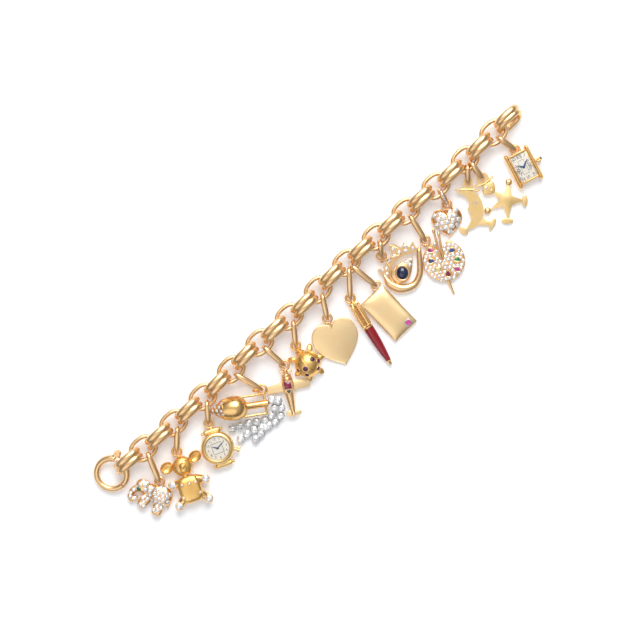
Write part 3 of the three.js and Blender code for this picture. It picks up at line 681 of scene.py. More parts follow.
class Charm:
    """A charm drawn upright in its own frame, in millimetres: the loop's hole at x = y = 0, the body towards
    -Y and the face up. `turn` and `lift` are its degrees about Z and X, and `level` its loop's height."""

    def __init__(self, name, link, turn, lift=0.0, level=2.2, step=0.0):
        self.name = name
        self.bail_node = f"{name}_bail"
        past = SINGLE["radial"] + BAIL_SLACK + BAIL["radial"]
        wire = singles[link] + (step, SINGLE["radial"] - SINGLE["half_width"], 0)
        middle = middle_of(self.bail_node)
        loop = 2 * middle - wire - (0, past, 0)
        share = past / (wire[1] - loop[1])
        loop[2] = (2 * middle[2] - LINK_LEVEL * (1 + share)) / (1 - share)
        self.loop, self.top = loop, 2 * middle - loop
        turned_ = Matrix.Rotation(radians(turn), 4, "Z") @ Matrix.Rotation(radians(lift), 4, "X")
        self.lay = Matrix.Translation(Vector(loop) - turned_ @ Vector((0, 0, level))) @ turned_

    def hang(self):
        """The bail: its long axis runs between the two ends, and it stands on edge."""
        along = self.loop - self.top
        x = unit(along)
        side = unit(np.cross((0, 0, 1), x))
        axes = np.column_stack([x, np.cross(x, side), -side])
        half_length = np.linalg.norm(along) / 2 + BAIL["radial"]
        points, faces = wire_ring(half_length=half_length, **BAIL, rounds=64, sides=14)
        return points @ axes.T + (self.loop + self.top) / 2, faces

    def add(self, part, shape, finish, slot, stands_for=()):
        return piece(f"{self.name}_{part}", through(shape, self.lay), finish, stands_for=stands_for)

    def add_bail(self):
        return piece(f"{self.name}_hanger", self.hang(), POLISHED, stands_for=[self.bail_node])


def circle_path(radius, level, centre=(0, 0), count=40, stretch=1.0):
    return np.column_stack([circle(radius, count, stretch, centre), np.full(count, level)])


def top_loop(level, reach=2.6):
    """The flat loop that the bail passes through, and its short neck down to the body."""
    return joined(
        tube(circle_path(LOOP_RADIUS, level), LOOP_WIRE, closed=True, sides=12),
        rod((0, -1.5, level), (0, -reach, level), 0.5, 0.62),
    )


# %% [markdown]
# ## The elephant
#
# A small elephant seen from its side, its trunk curled up, is set all over with round stones. The body is a
# few soft ovals and tapering tubes run together, and each stone is dropped onto it from above.

# %% Elephant
elephant = Charm("elephant", 0, -70)
trunk = curve([(-4.9, -4.6), (-6.3, -6.3), (-6.5, -8.3), (-5.5, -9.3), (-4.5, -8.5)]) + (0, 0, 1.5)
elephant_body = joined(
    oval((2.5, -3.9, 1.75), (3.9, 3.5, 1.75), squareness=2.3),
    oval((-4.0, -3.8, 1.8), (2.7, 2.4, 1.7), squareness=2.2),
    oval((-1.3, -4.0, 2.1), (1.8, 2.4, 1.5), (0, 0, 12)),
    tube(trunk, np.linspace(1.25, 0.9, len(trunk)), tall=0.9),
    oval((-1.5, -7.8, 1.5), (1.75, 2.7, 1.45), (0, 0, -10), squareness=3.6),
    oval((3.6, -7.9, 1.5), (1.85, 2.6, 1.45), (0, 0, 6), squareness=3.6),
    rod((5.5, -2.4, 1.4), (6.35, -6.2, 1.2), 0.75, 0.4),
)
eye_spot = (-4.9, -5.1)
stones, grains, count = pave(elephant_body, 1.52, 0.73, keep_off=[(*eye_spot, 0.95)], turn=8, margin=0.45)
elephant.add("body", joined(elephant_body, top_loop(2.2), grains), SETTING, "pave", ["elephant"])
elephant.add("stones", stones, DIAMOND, "diamond")
eye_top = on_top(elephant_body, [eye_spot])[1]
elephant.add("eye", many(BRILLIANT, eye_top, [0.8], [(0, 0, 1)], np.zeros(1)), EMERALD, "emerald")
elephant.add_bail()
print("elephant stones:", count)

# %% [markdown]
# ## The bear
#
# A brushed gold bear cub in two parts, a round head with wide dished ears and a pillow of a body. Its paws
# are single stones in cups, and five little stones mark the body like studs.

# %% Bear
bear = Charm("bear", 1, -22)


def bear_ear(at, radius, turn):
    """A dished ear: a round rim, a hollow inside it, and a fold that runs into the head."""
    rows = [(radius * 0.9, -0.75), (radius, -0.25), (radius, 0.35), (radius * 0.93, 0.5),
            (radius * 0.86, 0.35), (radius * 0.7, 0.05), (radius * 0.3, -0.15)]
    fold = curve([(-0.85 * radius, -0.2, 0.1), (0, 0.2 * radius, 0.1), (0.9 * radius, 0.1, 0.2)], 20)
    return moved(joined(standing(rows, stretch=(1.12, 0.95)), tube(fold, 0.2)), at, (0, 0, turn))


def bear_limb(start, end):
    return joined(rod((*start, 2.5), (*end, 2.2), 1.6, 1.2), collet((*end, 3.4), 1.32, 1.5))


# Each limb's two ends: at the body, and at the paw.
PAWS = [((-2.8, -10.4), (-5.2, -10.0)), ((3.0, -10.6), (5.9, -11.6)), ((-2.6, -15.4), (-5.3, -17.3)),
        ((2.6, -15.6), (4.8, -18.1))]
STUDS = [(-2.0, -11.0), (0.4, -11.2), (2.5, -11.35), (-2.9, -15.1), (2.8, -15.15)]
head = oval((0.15, -5.1, 2.7), (3.35, 3.25, 2.3), squareness=2.2, rows=32, columns=48)
trunk_body = oval((0, -13.1, 2.5), (3.9, 4.6, 2.4), squareness=3.4, rows=36, columns=56)
stud_places = on_top(trunk_body, STUDS)[1]
stud_rim = tube(circle_path(0.52, 0.05, count=16), 0.16, closed=True, sides=6)
stud_rims = [moved(stud_rim, place) for place in stud_places]
eye_places = on_top(head, [(-1.5, -4.0), (1.8, -4.0)])[1]
eyes = [moved(joined(tube(circle_path(0.48, 0.06, count=16), 0.16, closed=True, sides=6),
                     oval((0, 0, 0), (0.2, 0.2, 0.2), rows=6, columns=8)), place) for place in eye_places]
bear_gold = joined(
    head, trunk_body, bear_ear((-4.95, -4.0, 2.6), 2.05, 12), bear_ear((5.1, -3.5, 2.6), 2.0, 20),
    oval((0.3, -5.75, 4.5), (1.3, 1.8, 1.2), squareness=2.8), oval((0.25, -5.2, 5.5), (0.75, 0.9, 0.6)),
    tube(curve([(-0.3, -6.9, 5.3), (0.3, -7.15, 5.25), (0.9, -6.9, 5.3)], 14), 0.16),
    rod((0, -7.6, 2.8), (0, -9.6, 2.8), 1.25), top_loop(2.2),
)
bear.add("body", bear_gold, DEEP, "deep_gold", ["bear"])
bear.add("limbs", joined(*[bear_limb(*paw) for paw in PAWS], *stud_rims, *eyes), BRIGHT_DEEP, "deep_gold")
bear.add("paw_stones", brilliants([(*end, 3.5) for _, end in PAWS], 1.24, wobble=0.06), DIAMOND, "diamond")
bear.add("stud_stones", brilliants(stud_places + (0, 0, 0.02), 0.42), DIAMOND, "diamond")
bear.add_bail()

# %% [markdown]
# ## The round watch
#
# A tiny watch case with a domed bezel and a bar above and below it. The dial is cream, with plain numerals, a
# square track inside them and two blued hands. The numerals are text made into meshes.

# %% Lettering, tracks and hands
def lettering(text, size, at, turn=0.0, thickness=0.04):
    """A word or number as a shape lying flat, with the middle of its box at `at`."""
    font = bpy.data.curves.new("numeral", "FONT")
    font.body, font.size, font.extrude, font.resolution_u = text, size, thickness / 2, 2
    holder = bpy.data.objects.new("numeral", font)
    bpy.context.scene.collection.objects.link(holder)
    bpy.context.view_layer.update()
    mesh = bpy.data.meshes.new_from_object(holder)
    points = np.array([v.co for v in mesh.vertices], float)
    faces = [list(face.vertices) for face in mesh.polygons]
    bpy.data.objects.remove(holder)
    bpy.data.meshes.remove(mesh)
    return moved((points - (points.min(0) + points.max(0)) / 2, faces), at, (0, 0, turn))


def frame_line(half_width, half_height, level, centre, wire=0.05):
    """A thin rectangular line lying on a dial."""
    x, y = half_width, half_height
    corners = [(-x, -y), (x, -y), (x, y), (-x, y)]
    bars = [rod((*a, 0), (*b, 0), wire, sides=6) for a, b in zip(corners, corners[1:] + corners[:1])]
    return moved(joined(*bars), (*centre, level))


def hand(length, width, heading, level, centre):
    """A tapering leaf hand from the dial's middle, its heading in degrees clockwise from twelve."""
    outline = [(-width * 0.3, -0.5), (width * 0.3, -0.5), (width / 2, length * 0.35), (0.04, length),
               (-0.04, length), (-width / 2, length * 0.35)]
    return moved(plate(outline, 0, 0.08, 0.01), (*centre, level), (0, 0, -heading))


# %% Round watch
watch = Charm("round_watch", 2, -21)
CASE = (-0.2, -8.65)
CASE_RADIUS, DIAL_RADIUS, CASE_HEIGHT = 5.5, 3.95, 4.6
bezel = [
    (4.9, 0), (CASE_RADIUS, 0.5), (CASE_RADIUS, 2.9), (5.45, 3.5), (5.25, 4.0), (4.95, CASE_HEIGHT - 0.25),
    (4.6, CASE_HEIGHT - 0.07), (4.3, CASE_HEIGHT), (4.1, CASE_HEIGHT - 0.1), (DIAL_RADIUS, 4.3),
    (DIAL_RADIUS, 3.7),
]


def lug_bar(y, end):
    """A long thin bar with a button at each end and a thick sleeve round its middle."""
    return joined(rod((-3.5, y, 2.3), (3.3, end, 2.3), 0.42), rod((-2.1, y, 2.3), (2.1, end, 2.3), 0.95),
                  oval((-3.6, y, 2.3), (0.28, 0.62, 0.62)), oval((3.4, end, 2.3), (0.28, 0.62, 0.62)))


winding_knob = turned([(0, 0.8), (0.15, 0.95), (1.0, 0.95), (1.15, 0.8)], flutes=14, depth=0.06)
case = joined(
    standing(bezel, (*CASE, 0), sides=72), lug_bar(-2.7, -2.95), lug_bar(-14.3, -14.45), top_loop(2.2, 2.2),
    rod((4.4, -10.7, 2.3), (5.7, -11.25, 2.3), 0.55),
    moved(winding_knob, (5.6, -11.2, 2.3), (0, 0, 67)),
)


def on_dial(reach, angle, level):
    """A place on the round dial, its angle clockwise from twelve."""
    return CASE[0] + reach * sin(angle), CASE[1] + reach * cos(angle), level


numbers = [lettering(str(n), 1.15, on_dial(3.1, n * pi / 6, 4.07)) for n in range(1, 13)]
ticks = [rod(on_dial(3.65, a, 4.06), on_dial(3.82, a, 4.06), 0.03, sides=4) for a in np.arange(60) * pi / 30]
track = frame_line(1.75, 1.75, 4.06, CASE, 0.06)
watch.add("case", case, SATIN_YELLOW, "deep_gold", ["round_watch"])
dial = standing([(DIAL_RADIUS, 3.6), (DIAL_RADIUS, 4.03), (3.8, 4.05)], (*CASE, 0), sides=64)
watch.add("dial", dial, DIAL, "dial")
watch.add("numerals", joined(*numbers, *ticks, track), INK, "dark_print")
watch.add("hands", joined(hand(1.9, 0.42, -58, 4.12, CASE), hand(2.9, 0.34, 62, 4.2, CASE),
                          oval((*CASE, 4.2), (0.38, 0.38, 0.14))), BLUED, "blue_steel")
watch.add_bail()

# %% [markdown]
# ## The rocket
#
# A polished egg of a rocket with a stone-set nose, a short tail pipe held between two struts, and a flame of
# large round stones. The flame's three strands curl back round the rocket, each stone in a white cup.

# %% Rocket
rocket = Charm("rocket", 3, -123.6)
AXIS = (4.75, 0, 4.2)
BODY_START, BODY_LENGTH = 5.3, 12.6  # from the loop to the tail end, and on to the nose's tip
share = np.linspace(0.02, 1, 44)
# The radius rises as a quarter circle at the tail and falls as a cosine to the nose.
girth = 4.1 * np.where(share < 0.34, np.sqrt(1 - (1 - share / 0.34) ** 2), np.cos((share - 0.34) * 1.95))
hull = np.column_stack([BODY_START + share * BODY_LENGTH, np.maximum(girth, 0.25)])
bulb = turned(hull[hull[:, 0] <= 13.6], AXIS, sides=64)
nose_rows = [(13.4, 3.3), (13.7, 3.35), (15.4, 2.2), (17.2, 0.95), (17.8, 0.6), (18.0, 0.3)]
nose_cone = turned(nose_rows, AXIS, sides=48)
collar = tube(circle_path(3.35, 0, count=48), 0.16, closed=True, sides=10)
collar = moved(collar, (AXIS[0], -13.6, AXIS[2]), (90, 0, 0))
struts = [
    tube(curve([(3.4, -6.0, 4.2), (1.6, -6.7, 4.2), (1.5, -3.0, 3.6), (1.5, 0.5, 2.6)], 24), 0.4),
    tube(curve([(6.1, -6.0, 4.2), (7.9, -6.8, 4.2), (8.0, -3.0, 3.9), (8.0, 0.5, 3.4)], 24), 0.4),
    rod((1.3, 0.45, 2.55), (8.1, 0.45, 3.5), 0.4),
    rod((4.75, 0.6, 3.3), (4.4, 2.6, 2.4), 0.8, 0.6),
]
pipe_rows = [(-1.4, 1.05), (-1.3, 1.3), (-0.7, 1.3), (-0.6, 1.2), (5.2, 1.2), (6.2, 1.6)]
pipe = turned(pipe_rows, (AXIS[0], 0, 3.9))
cone_stones, cone_grains, count = pave(nose_cone, 1.42, 0.6, turn=20, margin=0.3)
rocket.add("hull", joined(bulb, collar, pipe, *struts, top_loop(2.2)), BRIGHT_DEEP, "deep_gold", ["rocket"])
rocket.add("nose", joined(nose_cone, cone_grains), SETTING, "pave")
rocket.add("nose_stones", cone_stones, DIAMOND, "diamond")

STONE_STEP = 2.7
STRANDS = [
    [(3.9, 2.8), (7.6, 3.2), (9.9, 0.2), (10.3, -5.6), (11.4, -11.5)],
    [(4.5, 4.9), (8.6, 5.4), (11.9, 1.6), (13.0, -4.6), (15.2, -9.2)],
    [(12.7, -0.8), (14.5, -2.4), (16.1, -4.4)],
]


def spaced(points, step):
    """Points a step apart, measured along the smooth line through the given ones."""
    line = curve(points, 200)
    length = np.concatenate([[0], np.cumsum(np.linalg.norm(np.diff(line, axis=0), axis=1))])
    at = np.linspace(0, length[-1], round(length[-1] / step) + 1)
    return np.column_stack([np.interp(at, length, line[:, k]) for k in range(3)])


flame = []
for strand in STRANDS:
    row = spaced(strand, STONE_STEP)
    away = np.hypot(*(row[:, :2] - strand[0]).T)
    row[:, 2] = 1.55 if strand is STRANDS[2] else 1.55 + np.maximum(0, 2.2 - 0.35 * away)
    flame.append(row)
BELOW_STONES = (0, 0, 0.7)
links = [rod(a - BELOW_STONES, b - BELOW_STONES, 0.35, sides=8)
         for row in flame for a, b in zip(row[:-1], row[1:])]
flame_places = np.concatenate(flame)
cups = [collet(place, 1.27, 1.3) for place in flame_places]
rocket.add("flame_settings", joined(*cups, *links), WHITE_METAL, "white_metal")
rocket.add("flame_stones", brilliants(flame_places + (0, 0, 0.15), 1.18, wobble=0.06), DIAMOND, "diamond")
rocket.add_bail()
print("flame stones:", len(flame_places))

# %% [markdown]
# ## The plane
#
# A little aeroplane with a round cowl, a bar for its propeller, tapering wings and a square ruby canopy. Its
# body is turned, and each wing is a thin plate with rounded edges.

# %% Plane
plane = Charm("plane", 4, -30.7)
cowl = [(3.0, 1.2), (3.1, 1.5), (3.5, 1.75), (4.0, 1.55), (4.2, 1.75), (4.9, 1.8), (5.0, 1.65)]
tail = [(5.2, 1.95), (6.5, 1.95), (9.0, 1.75), (13.0, 1.15), (16.6, 0.6), (17.2, 0.35)]
fuselage = turned(cowl + tail, (-0.1, 0, 1.95), sides=48)
WINGS = [(-7.3, -8.6), (-7.1, -6.1), (-1.0, -5.2), (1.0, -5.2), (7.1, -5.9), (7.1, -8.5), (1.0, -8.6),
         (-1.0, -8.7)]
wings = plate(WINGS, 1.0, 1.8, 0.2)
TAIL_WINGS = [(-2.5, -16.8), (-2.4, -15.4), (-1.6, -15.1), (2.2, -15.1), (2.7, -15.9), (2.5, -16.8),
              (0, -17.1)]
tail_wings = plate(TAIL_WINGS, 1.7, 2.3, 0.2)
fin = rod((-0.1, -15.2, 2.3), (-0.1, -17.0, 3.2), 0.25, 0.4)
nose_parts = joined(
    rod((-2.0, -2.1, 2.0), (1.9, -2.2, 2.0), 0.32),
    turned([(1.3, 0.5), (1.5, 0.75), (2.7, 0.75), (3.2, 1.2)], (-0.05, 0, 2.0)),
    moved(tube(circle_path(1.78, 0, count=32), 0.16, closed=True, sides=8), (-0.1, -4.45, 1.95), (90, 0, 0)),
)
CANOPY_RIM = [(-1.55, -8.2), (-1.55, -5.4), (1.2, -5.4), (1.2, -8.2), (0.7, -9.3), (-0.2, -9.9), (-1.1, -9.3)]
canopy_rim = plate(CANOPY_RIM, 2.4, 3.85, 0.15)
plane_body = joined(fuselage, fin, nose_parts, canopy_rim, top_loop(2.2, 1.8))
plane.add("body", plane_body, POLISHED, "gold", ["plane"])
plane.add("wings", joined(wings, tail_wings), PALE, "pale_gold")
canopy = faceted(SQUARE * (1.2, 1.25), 0.25, 0.5, 0.8)
plane.add("canopy", moved(canopy, (-0.18, -6.75, 3.88)), RUBY, "ruby")
hatch = plate([(-0.9, -8.35), (0.55, -8.35), (0.3, -9.1), (-0.2, -9.5), (-0.7, -9.1)], 3.6, 3.9, 0.03)
plane.add("hatch", hatch, INK, "dark_print")
plane.add_bail()

# %% [markdown]
# ## The ladybird
#
# A brushed dome with a seam between its wings, dark cabochons for spots and six leaf-shaped feet.

# %% Ladybird
ladybird = Charm("ladybug", 5, -28)
DOME_AT = (2.4, -6.7)
dome = oval((*DOME_AT, 3.3), (4.3, 4.5, 3.6), rows=40, columns=64)
SPOTS = [(4.3, -5.6, 0.8), (1.3, -8.15, 0.9), (6.0, -6.6, 0.75), (5.4, -9.0, 0.75), (1.3, -10.2, 0.7),
         (-1.2, -8.0, 0.6)]  # each one's place and radius
FEET = [(-2.3, -4.3), (4.2, -1.8), (6.9, -5.6), (5.9, -10.0), (-1.3, -8.9), (2.0, -11.2)]
seam_line = curve([(0.9, -3.4), (0.9, -5.0), (1.8, -7.2), (4.4, -10.0)], 30)
seam = on_top(dome, seam_line[:, :2])[1]
shoulder = on_top(dome, curve([(-1.0, -6.2), (0.9, -4.9), (3.6, -4.1)], 24)[:, :2])[1]
feet = []
for x, y in FEET:
    heading = degrees(atan2(y - DOME_AT[1], x - DOME_AT[0]))
    foot = oval((0, 0, 0), (1.55, 1.0, 0.4), squareness=1.8, rows=12, columns=20)
    leg = rod((x, y, 1.1), ((x + DOME_AT[0]) / 2, (y + DOME_AT[1]) / 2, 2.0), 0.4, 0.7)
    feet += [moved(foot, (x, y, 1.2), (0, 18, heading)), leg]
collar = [rod((0.1, -1.3, 2.3), (1.2, -3.2, 2.9), 0.75, 1.3)]
collar += [moved(tube(circle_path(wide, 0, count=28), 0.24, closed=True, sides=8), at, (80, 0, 25))
           for wide, at in ((1.15, (0.35, -1.9, 2.5)), (1.45, (0.85, -2.75, 2.75)))]
ladybird.add("body", joined(dome, *feet, *collar, top_loop(2.2, 1.6)), DEEP, "deep_gold", ["ladybug"])
seams = joined(tube(seam, 0.2, sides=8), tube(shoulder, 0.14, sides=8))
ladybird.add("seams", seams, BRIGHT_DEEP, "deep_gold")
spot_tops, spot_normals = on_top(dome, [spot[:2] for spot in SPOTS])[1:]
spot_sizes = [spot[2] for spot in SPOTS]
spot_base = oval((0, 0, 0), (1, 1, 0.45), rows=12, columns=18)
unspun = np.zeros(len(SPOTS))
spots = many(spot_base, spot_tops, spot_sizes, spot_normals, unspun)
ladybird.add("spots", spots, DARK_RUBY, "ruby")
rim_base = tube(circle_path(1.05, 0.0, count=18), 0.14, closed=True, sides=6)
rims = many(rim_base, spot_tops, spot_sizes, spot_normals, unspun)
ladybird.add("spot_rims", rims, POLISHED, "gold")
ladybird.add_bail()


# %% [markdown]
# ## Two hearts
#
# The large heart is a plain satin plate with a crisp rim. The small one is thick, domed and set all over with
# stones, and so is its bail. Both outlines are four cubic arcs between a notch and a tip.

# %% Heart outlines
def bezier(a, b, c, d, count=26):
    t = np.linspace(0, 1, count, endpoint=False)[:, None]
    a, b, c, d = (np.array(point, float) for point in (a, b, c, d))
    return (1 - t) ** 3 * a + 3 * t * (1 - t) ** 2 * b + 3 * t**2 * (1 - t) * c + t**3 * d


def heart(half_width, notch, top, tip):
    """One side is an arc over the lobe and an arc down to the tip; the other side is its mirror."""
    lobe = (top + notch) / 2 + (notch - top) * 0.6
    side = notch + (tip - notch) * 0.28
    w = half_width
    over = ((0, notch), (w * 0.25, top + 0.3), (w, lobe + top - notch), (w, side))
    down = ((w, side), (w, side + (tip - side) * 0.4), (w * 0.4, tip + (side - tip) * 0.25), (0, tip))
    mirror = [[(-x, y) for x, y in reversed(arc)] for arc in (down, over)]
    return np.concatenate([bezier(*arc) for arc in (over, down, *mirror)])


# %% Plain heart
plain = Charm("plain_heart", 6, -19.6, lift=6, level=0.7)
outline = heart(7.75, -2.9, -0.35, -16.5)
slab = plate(outline, 0, 1.14, 0.16)
rim = tube(np.column_stack([inset(outline, 0.22), np.full(len(outline), 1.1)]), 0.1, closed=True, sides=8)
yoke = rod((-0.9, -2.3, 0.75), (0.0, -3.3, 0.8), 0.42), rod((0.9, -2.2, 0.75), (0.0, -3.3, 0.8), 0.42)
plain.add("plate", joined(slab, rim), PALE, "pale_gold", ["plain_heart"])
plain.add("loop", joined(top_loop(0.7, 2.6), *yoke), POLISHED, "gold")
plain.add_bail()

# %% Stone-set heart
small = Charm("pave_heart", 10, -31, level=2.0)
outline = heart(5.0, -1.8, -0.2, -9.8) + (-0.9, -0.45)
puffed = Cushion(outline, (-0.9, -4.6), 0, 1.5, 3.15, 2.6).shape()
stones, grains, count = pave(puffed, 1.9, 0.93, margin=0.35, turn=4, sunk=0.02)
edge = tube(np.column_stack([outline, np.full(len(outline), 1.35)]), 0.16, closed=True, sides=8)
small.add("body", joined(puffed, grains, edge, top_loop(2.0, 2.6)), SETTING, "pave", ["pave_heart"])
small.add("stones", stones, DIAMOND, "diamond")
hanger = small.hang()
bail_stones, bail_grains, _ = pave(hanger, 0.95, 0.4, margin=0.4, turn=17)
piece("pave_heart_hanger", joined(hanger, bail_grains), SETTING, stands_for=[small.bail_node])
piece("pave_heart_hanger_stones", bail_stones, DIAMOND)
print("small heart stones:", count)

# %% [markdown]
# ## The pen
#
# A fountain pen with a fluted gold cap, a clip along it and a red enamel barrel that ends in a gold point.
# Its parts are turned about one axis, and its loop stands on the cap's end.

# %% Pen
pen = Charm("pen", 7, -10.2, lift=1.5, level=1.8, step=-0.62)
PEN_AXIS = (0, 0, 1.7)
cap_rows = [(1.7, 0.9), (1.75, 1.35), (2.2, 1.55), (2.5, 1.6), (10.3, 1.62), (10.5, 1.55)]
cap = turned(cap_rows, PEN_AXIS, flutes=12, depth=0.1)
bands = []
for start, wide in ((2.3, 0.55), (10.3, 0.35), (10.8, 0.75)):
    band_rows = [(start, 1.5), (start + 0.1, 1.74), (start + wide - 0.1, 1.76), (start + wide, 1.5)]
    bands.append(turned(band_rows, PEN_AXIS, sides=48))
knob = turned([(0.9, 0.55), (1.0, 0.8), (1.3, 0.85), (1.5, 0.6), (1.8, 0.7)], PEN_AXIS)
clip_line = curve([(-0.5, -2.3, 3.1), (-0.95, -3.4, 3.55), (-1.0, -7.0, 3.45), (-1.0, -10.6, 3.05)], 24)
clip_wire = tube(clip_line, np.linspace(0.34, 0.5, 24), tall=0.7, sides=12)
clip = joined(clip_wire, oval((-1.0, -10.7, 3.1), (0.5, 0.55, 0.4)))
pen.add("cap", joined(cap, *bands, knob, clip, top_loop(1.8, 1.4)), BRIGHT_DEEP, "deep_gold", ["pen_cap"])
barrel_rows = [(11.5, 1.5), (11.65, 1.66), (14.0, 1.66), (17.0, 1.56), (20.0, 1.32), (22.5, 1.02),
               (24.1, 0.8)]
pen.add("barrel", turned(barrel_rows, PEN_AXIS, sides=56), RED_ENAMEL, "red_enamel", ["pen_barrel"])
point_rows = [(24.0, 0.6), (24.05, 0.86), (24.4, 0.86), (24.5, 0.76), (25.3, 0.6), (25.65, 0.4)]
point = turned(point_rows, PEN_AXIS)
pen.add("point", point, POLISHED, "gold")
pen.add_bail()

# %% [markdown]
# ## The envelope
#
# A smooth gold pillow with four sharp corners and a small square stone near one of them. Its two faces bulge
# as one minus a power of the distance from each edge.

# %% Envelope
envelope = Charm("envelope", 7, 1.8, lift=2.5, level=1.4, step=0.62)
MIDDLE, HALF_WIDE, HALF_LONG = (-3.2, -9.35, 1.4), 4.95, 8.4
EDGE_HALF, SWELL = 0.2, 1.05
station = np.sin(np.linspace(-pi / 2, pi / 2, 33))
across, along = np.meshgrid(station, station)
bulge = EDGE_HALF + SWELL * (1 - np.abs(across) ** 3) ** 0.6 * (1 - np.abs(along) ** 5) ** 0.6
face = np.stack([across * HALF_WIDE, along * HALF_LONG, bulge], axis=-1)
both = np.concatenate([face, face[:, ::-1] * (1, 1, -1)], axis=1)
closed_ends = np.concatenate([both[:1] * (1, 1, 0), both, both[-1:] * (1, 1, 0)])
pillow = moved(grid(closed_ends), MIDDLE)
fold = tube([(-7.4, -3.9, 2.0), (-5.6, -2.6, 2.2), (-3.6, -1.3, 1.75)], (0.02, 0.12, 0.02), sides=8)
GEM_SPOT = (-0.75, -16.1)
gem_top = on_top(pillow, [GEM_SPOT])[1][0]
envelope.add("body", joined(pillow, top_loop(1.4, 1.9), fold), PALE, "pale_gold", ["envelope"])
envelope.add("setting", moved(plate(SQUARE * 1.12, -0.5, 0.2, 0.1), gem_top), WHITE_METAL, "white_metal")
square_stone = faceted(SQUARE * 0.82, 0.25, 0.4, 0.9)
envelope.add("stone", moved(square_stone, gem_top + (0, 0, 0.2)), PINK, "pink_stone")
envelope.add_bail()


# %% [markdown]
# ## The eye
#
# An eye made of one flowing frame: a thick polished band sweeps under it and up one side, and stone-set
# points stand over it like lashes. A drop in the opening holds a dark oval cabochon in a heavy rim.

# %% Pierced plates and pear-cut stones
def pierced(outline, hole, low, high):
    """A flat plate with a hole, its two faces filled with triangles between the outlines."""
    loops = [np.array(loop, float)[:, :2] for loop in (outline, hole)]
    flat, count = np.concatenate(loops), sum(len(loop) for loop in loops)
    corners = [[Vector((x, y, 0)) for x, y in loop] for loop in loops]
    fill = [list(three) for three in tessellate_polygon(corners)]
    faces = fill + [[i + count for i in three] for three in fill]
    start = 0
    for loop in loops:
        around = start + np.arange(len(loop))
        pairs = zip(around.tolist(), np.roll(around, -1).tolist())
        faces += [[a, b, b + count, a + count] for a, b in pairs]
        start += len(loop)
    return np.concatenate([np.column_stack([flat, np.full(count, z)]) for z in (low, high)]), faces


def pear(half_length, half_width, count=16):
    """A drop outline about its middle, pointing along +X."""
    angle = np.linspace(0, 2 * pi, count, endpoint=False)
    y = half_width * np.sin(angle) * (1 - np.cos(angle)) ** 0.5 * 1.05
    return np.column_stack([half_length * np.cos(angle), y])


# %% Eye
eye = Charm("eye", 8, -42, lift=3, level=1.6)
LOWER_LID = [(0.6, -6.9), (2.2, -9.6), (4.4, -11.3), (6.9, -11.9), (9.8, -11.3), (12.0, -9.6), (13.3, -6.9),
             (13.5, -3.0), (13.3, 0.8)]
LASHES = [(12.7, 3.4), (12.0, 2.6), (11.3, 3.0), (10.4, 4.9), (9.7, 3.9), (9.2, 2.9), (7.3, 4.6), (6.9, 3.3),
          (6.4, 2.9), (4.6, 3.9), (2.4, 3.9), (2.7, 2.6), (3.2, 1.2), (3.4, 0.3), (2.6, -0.6), (1.3, -1.6),
          (1.2, -3.4), (0.2, -3.9), (-1.3, -4.5), (-0.4, -5.6)]
OPENING = curve([
    (11.6, 1.3), (7.4, 0.2), (4.9, -1.6), (3.4, -4.0), (3.8, -6.8), (5.4, -9.0), (8.2, -9.4), (10.9, -7.6),
    (11.7, -4.6), (11.6, 1.3)], 60)[:-1, :2]
DROP = curve([
    (10.3, -0.3), (7.2, -1.6), (4.7, -3.2), (3.1, -5.2), (3.6, -7.8), (6.2, -9.0), (8.8, -7.8), (10.0, -4.6),
    (10.3, -0.3)], 56)[:-1]
band = curve([
    (0.9, -6.3, 1.35), (2.9, -9.1, 1.45), (6.8, -10.7, 1.45), (10.8, -9.5, 1.35), (12.6, -6.0, 1.3),
    (12.65, -2.4, 1.25), (12.45, 1.2, 1.25), (12.6, 2.8, 1.2)], 60)
# The band's radius at shares of its length.
SWELL_AT, SWELL_TO = [0, 0.1, 0.25, 0.45, 0.62, 0.9, 1], [0.4, 1.3, 1.55, 1.2, 1.0, 0.85, 0.5]
swell = np.interp(np.linspace(0, 1, 60), SWELL_AT, SWELL_TO)
ridge = curve([(1.6, -1.9, 1.5), (3.0, -3.9, 1.8), (2.9, -6.6, 1.9), (4.4, -9.0, 1.9)], 30)
drop = Cushion(DROP, (6.7, -5.4), 0.2, 1.7, 2.3, 3.0).shape()
SAPPHIRE_AT = (6.9, -5.5)
rim_line = [(SAPPHIRE_AT[0] + x, SAPPHIRE_AT[1] + y, 2.3) for x, y in circle(2.15, 48, 1.13)]
rim = tube(rim_line, 0.4, closed=True, sides=10)
LASH_STONES = [(4.0, 2.4), (5.7, 1.3), (4.2, 0.25), (2.6, -1.5), (7.8, 3.3), (7.9, 1.8), (10.3, 2.7),
               (0.3, -4.6), (1.8, -4.1), (1.7, -5.9)]
DROP_STONES = [(8.0, -2.0), (9.2, -1.4), (9.35, -2.7)]
frame_plate = pierced(LOWER_LID + LASHES, OPENING, 0.1, 1.5)
leaf = tube(curve([(3.3, -0.4, 1.5), (6.3, 0.7, 1.55), (5.6, 2.4, 1.5), (2.5, 3.8, 1.5)], 24), 0.18, sides=8)
stem = rod((0.5, -1.6, 1.6), (3.2, -0.4, 2.0), 0.3, 0.15)
lower_lid = tube(ridge, np.linspace(0.2, 0.5, 30), sides=12)
eye_frame = joined(frame_plate, tube(band, swell, tall=0.85), lower_lid, leaf, stem, top_loop(1.6, 1.7))
eye.add("frame", eye_frame, POLISHED, "gold", ["eye"])
eye.add("drop", joined(drop, rim), POLISHED, "gold")
eye_stones = np.array([(x, y, 1.6) for x, y in LASH_STONES] + [(x, y, 2.1) for x, y in DROP_STONES])
eye.add("lash_stones", brilliants(eye_stones, 0.62), DIAMOND, "diamond")
claws = (eye_stones[:, None] + np.column_stack([circle(0.66, 4), np.zeros(4)])[None]).reshape(-1, 3)
eye.add("lash_claws", beads(claws, 0.15), SETTING, "pave")
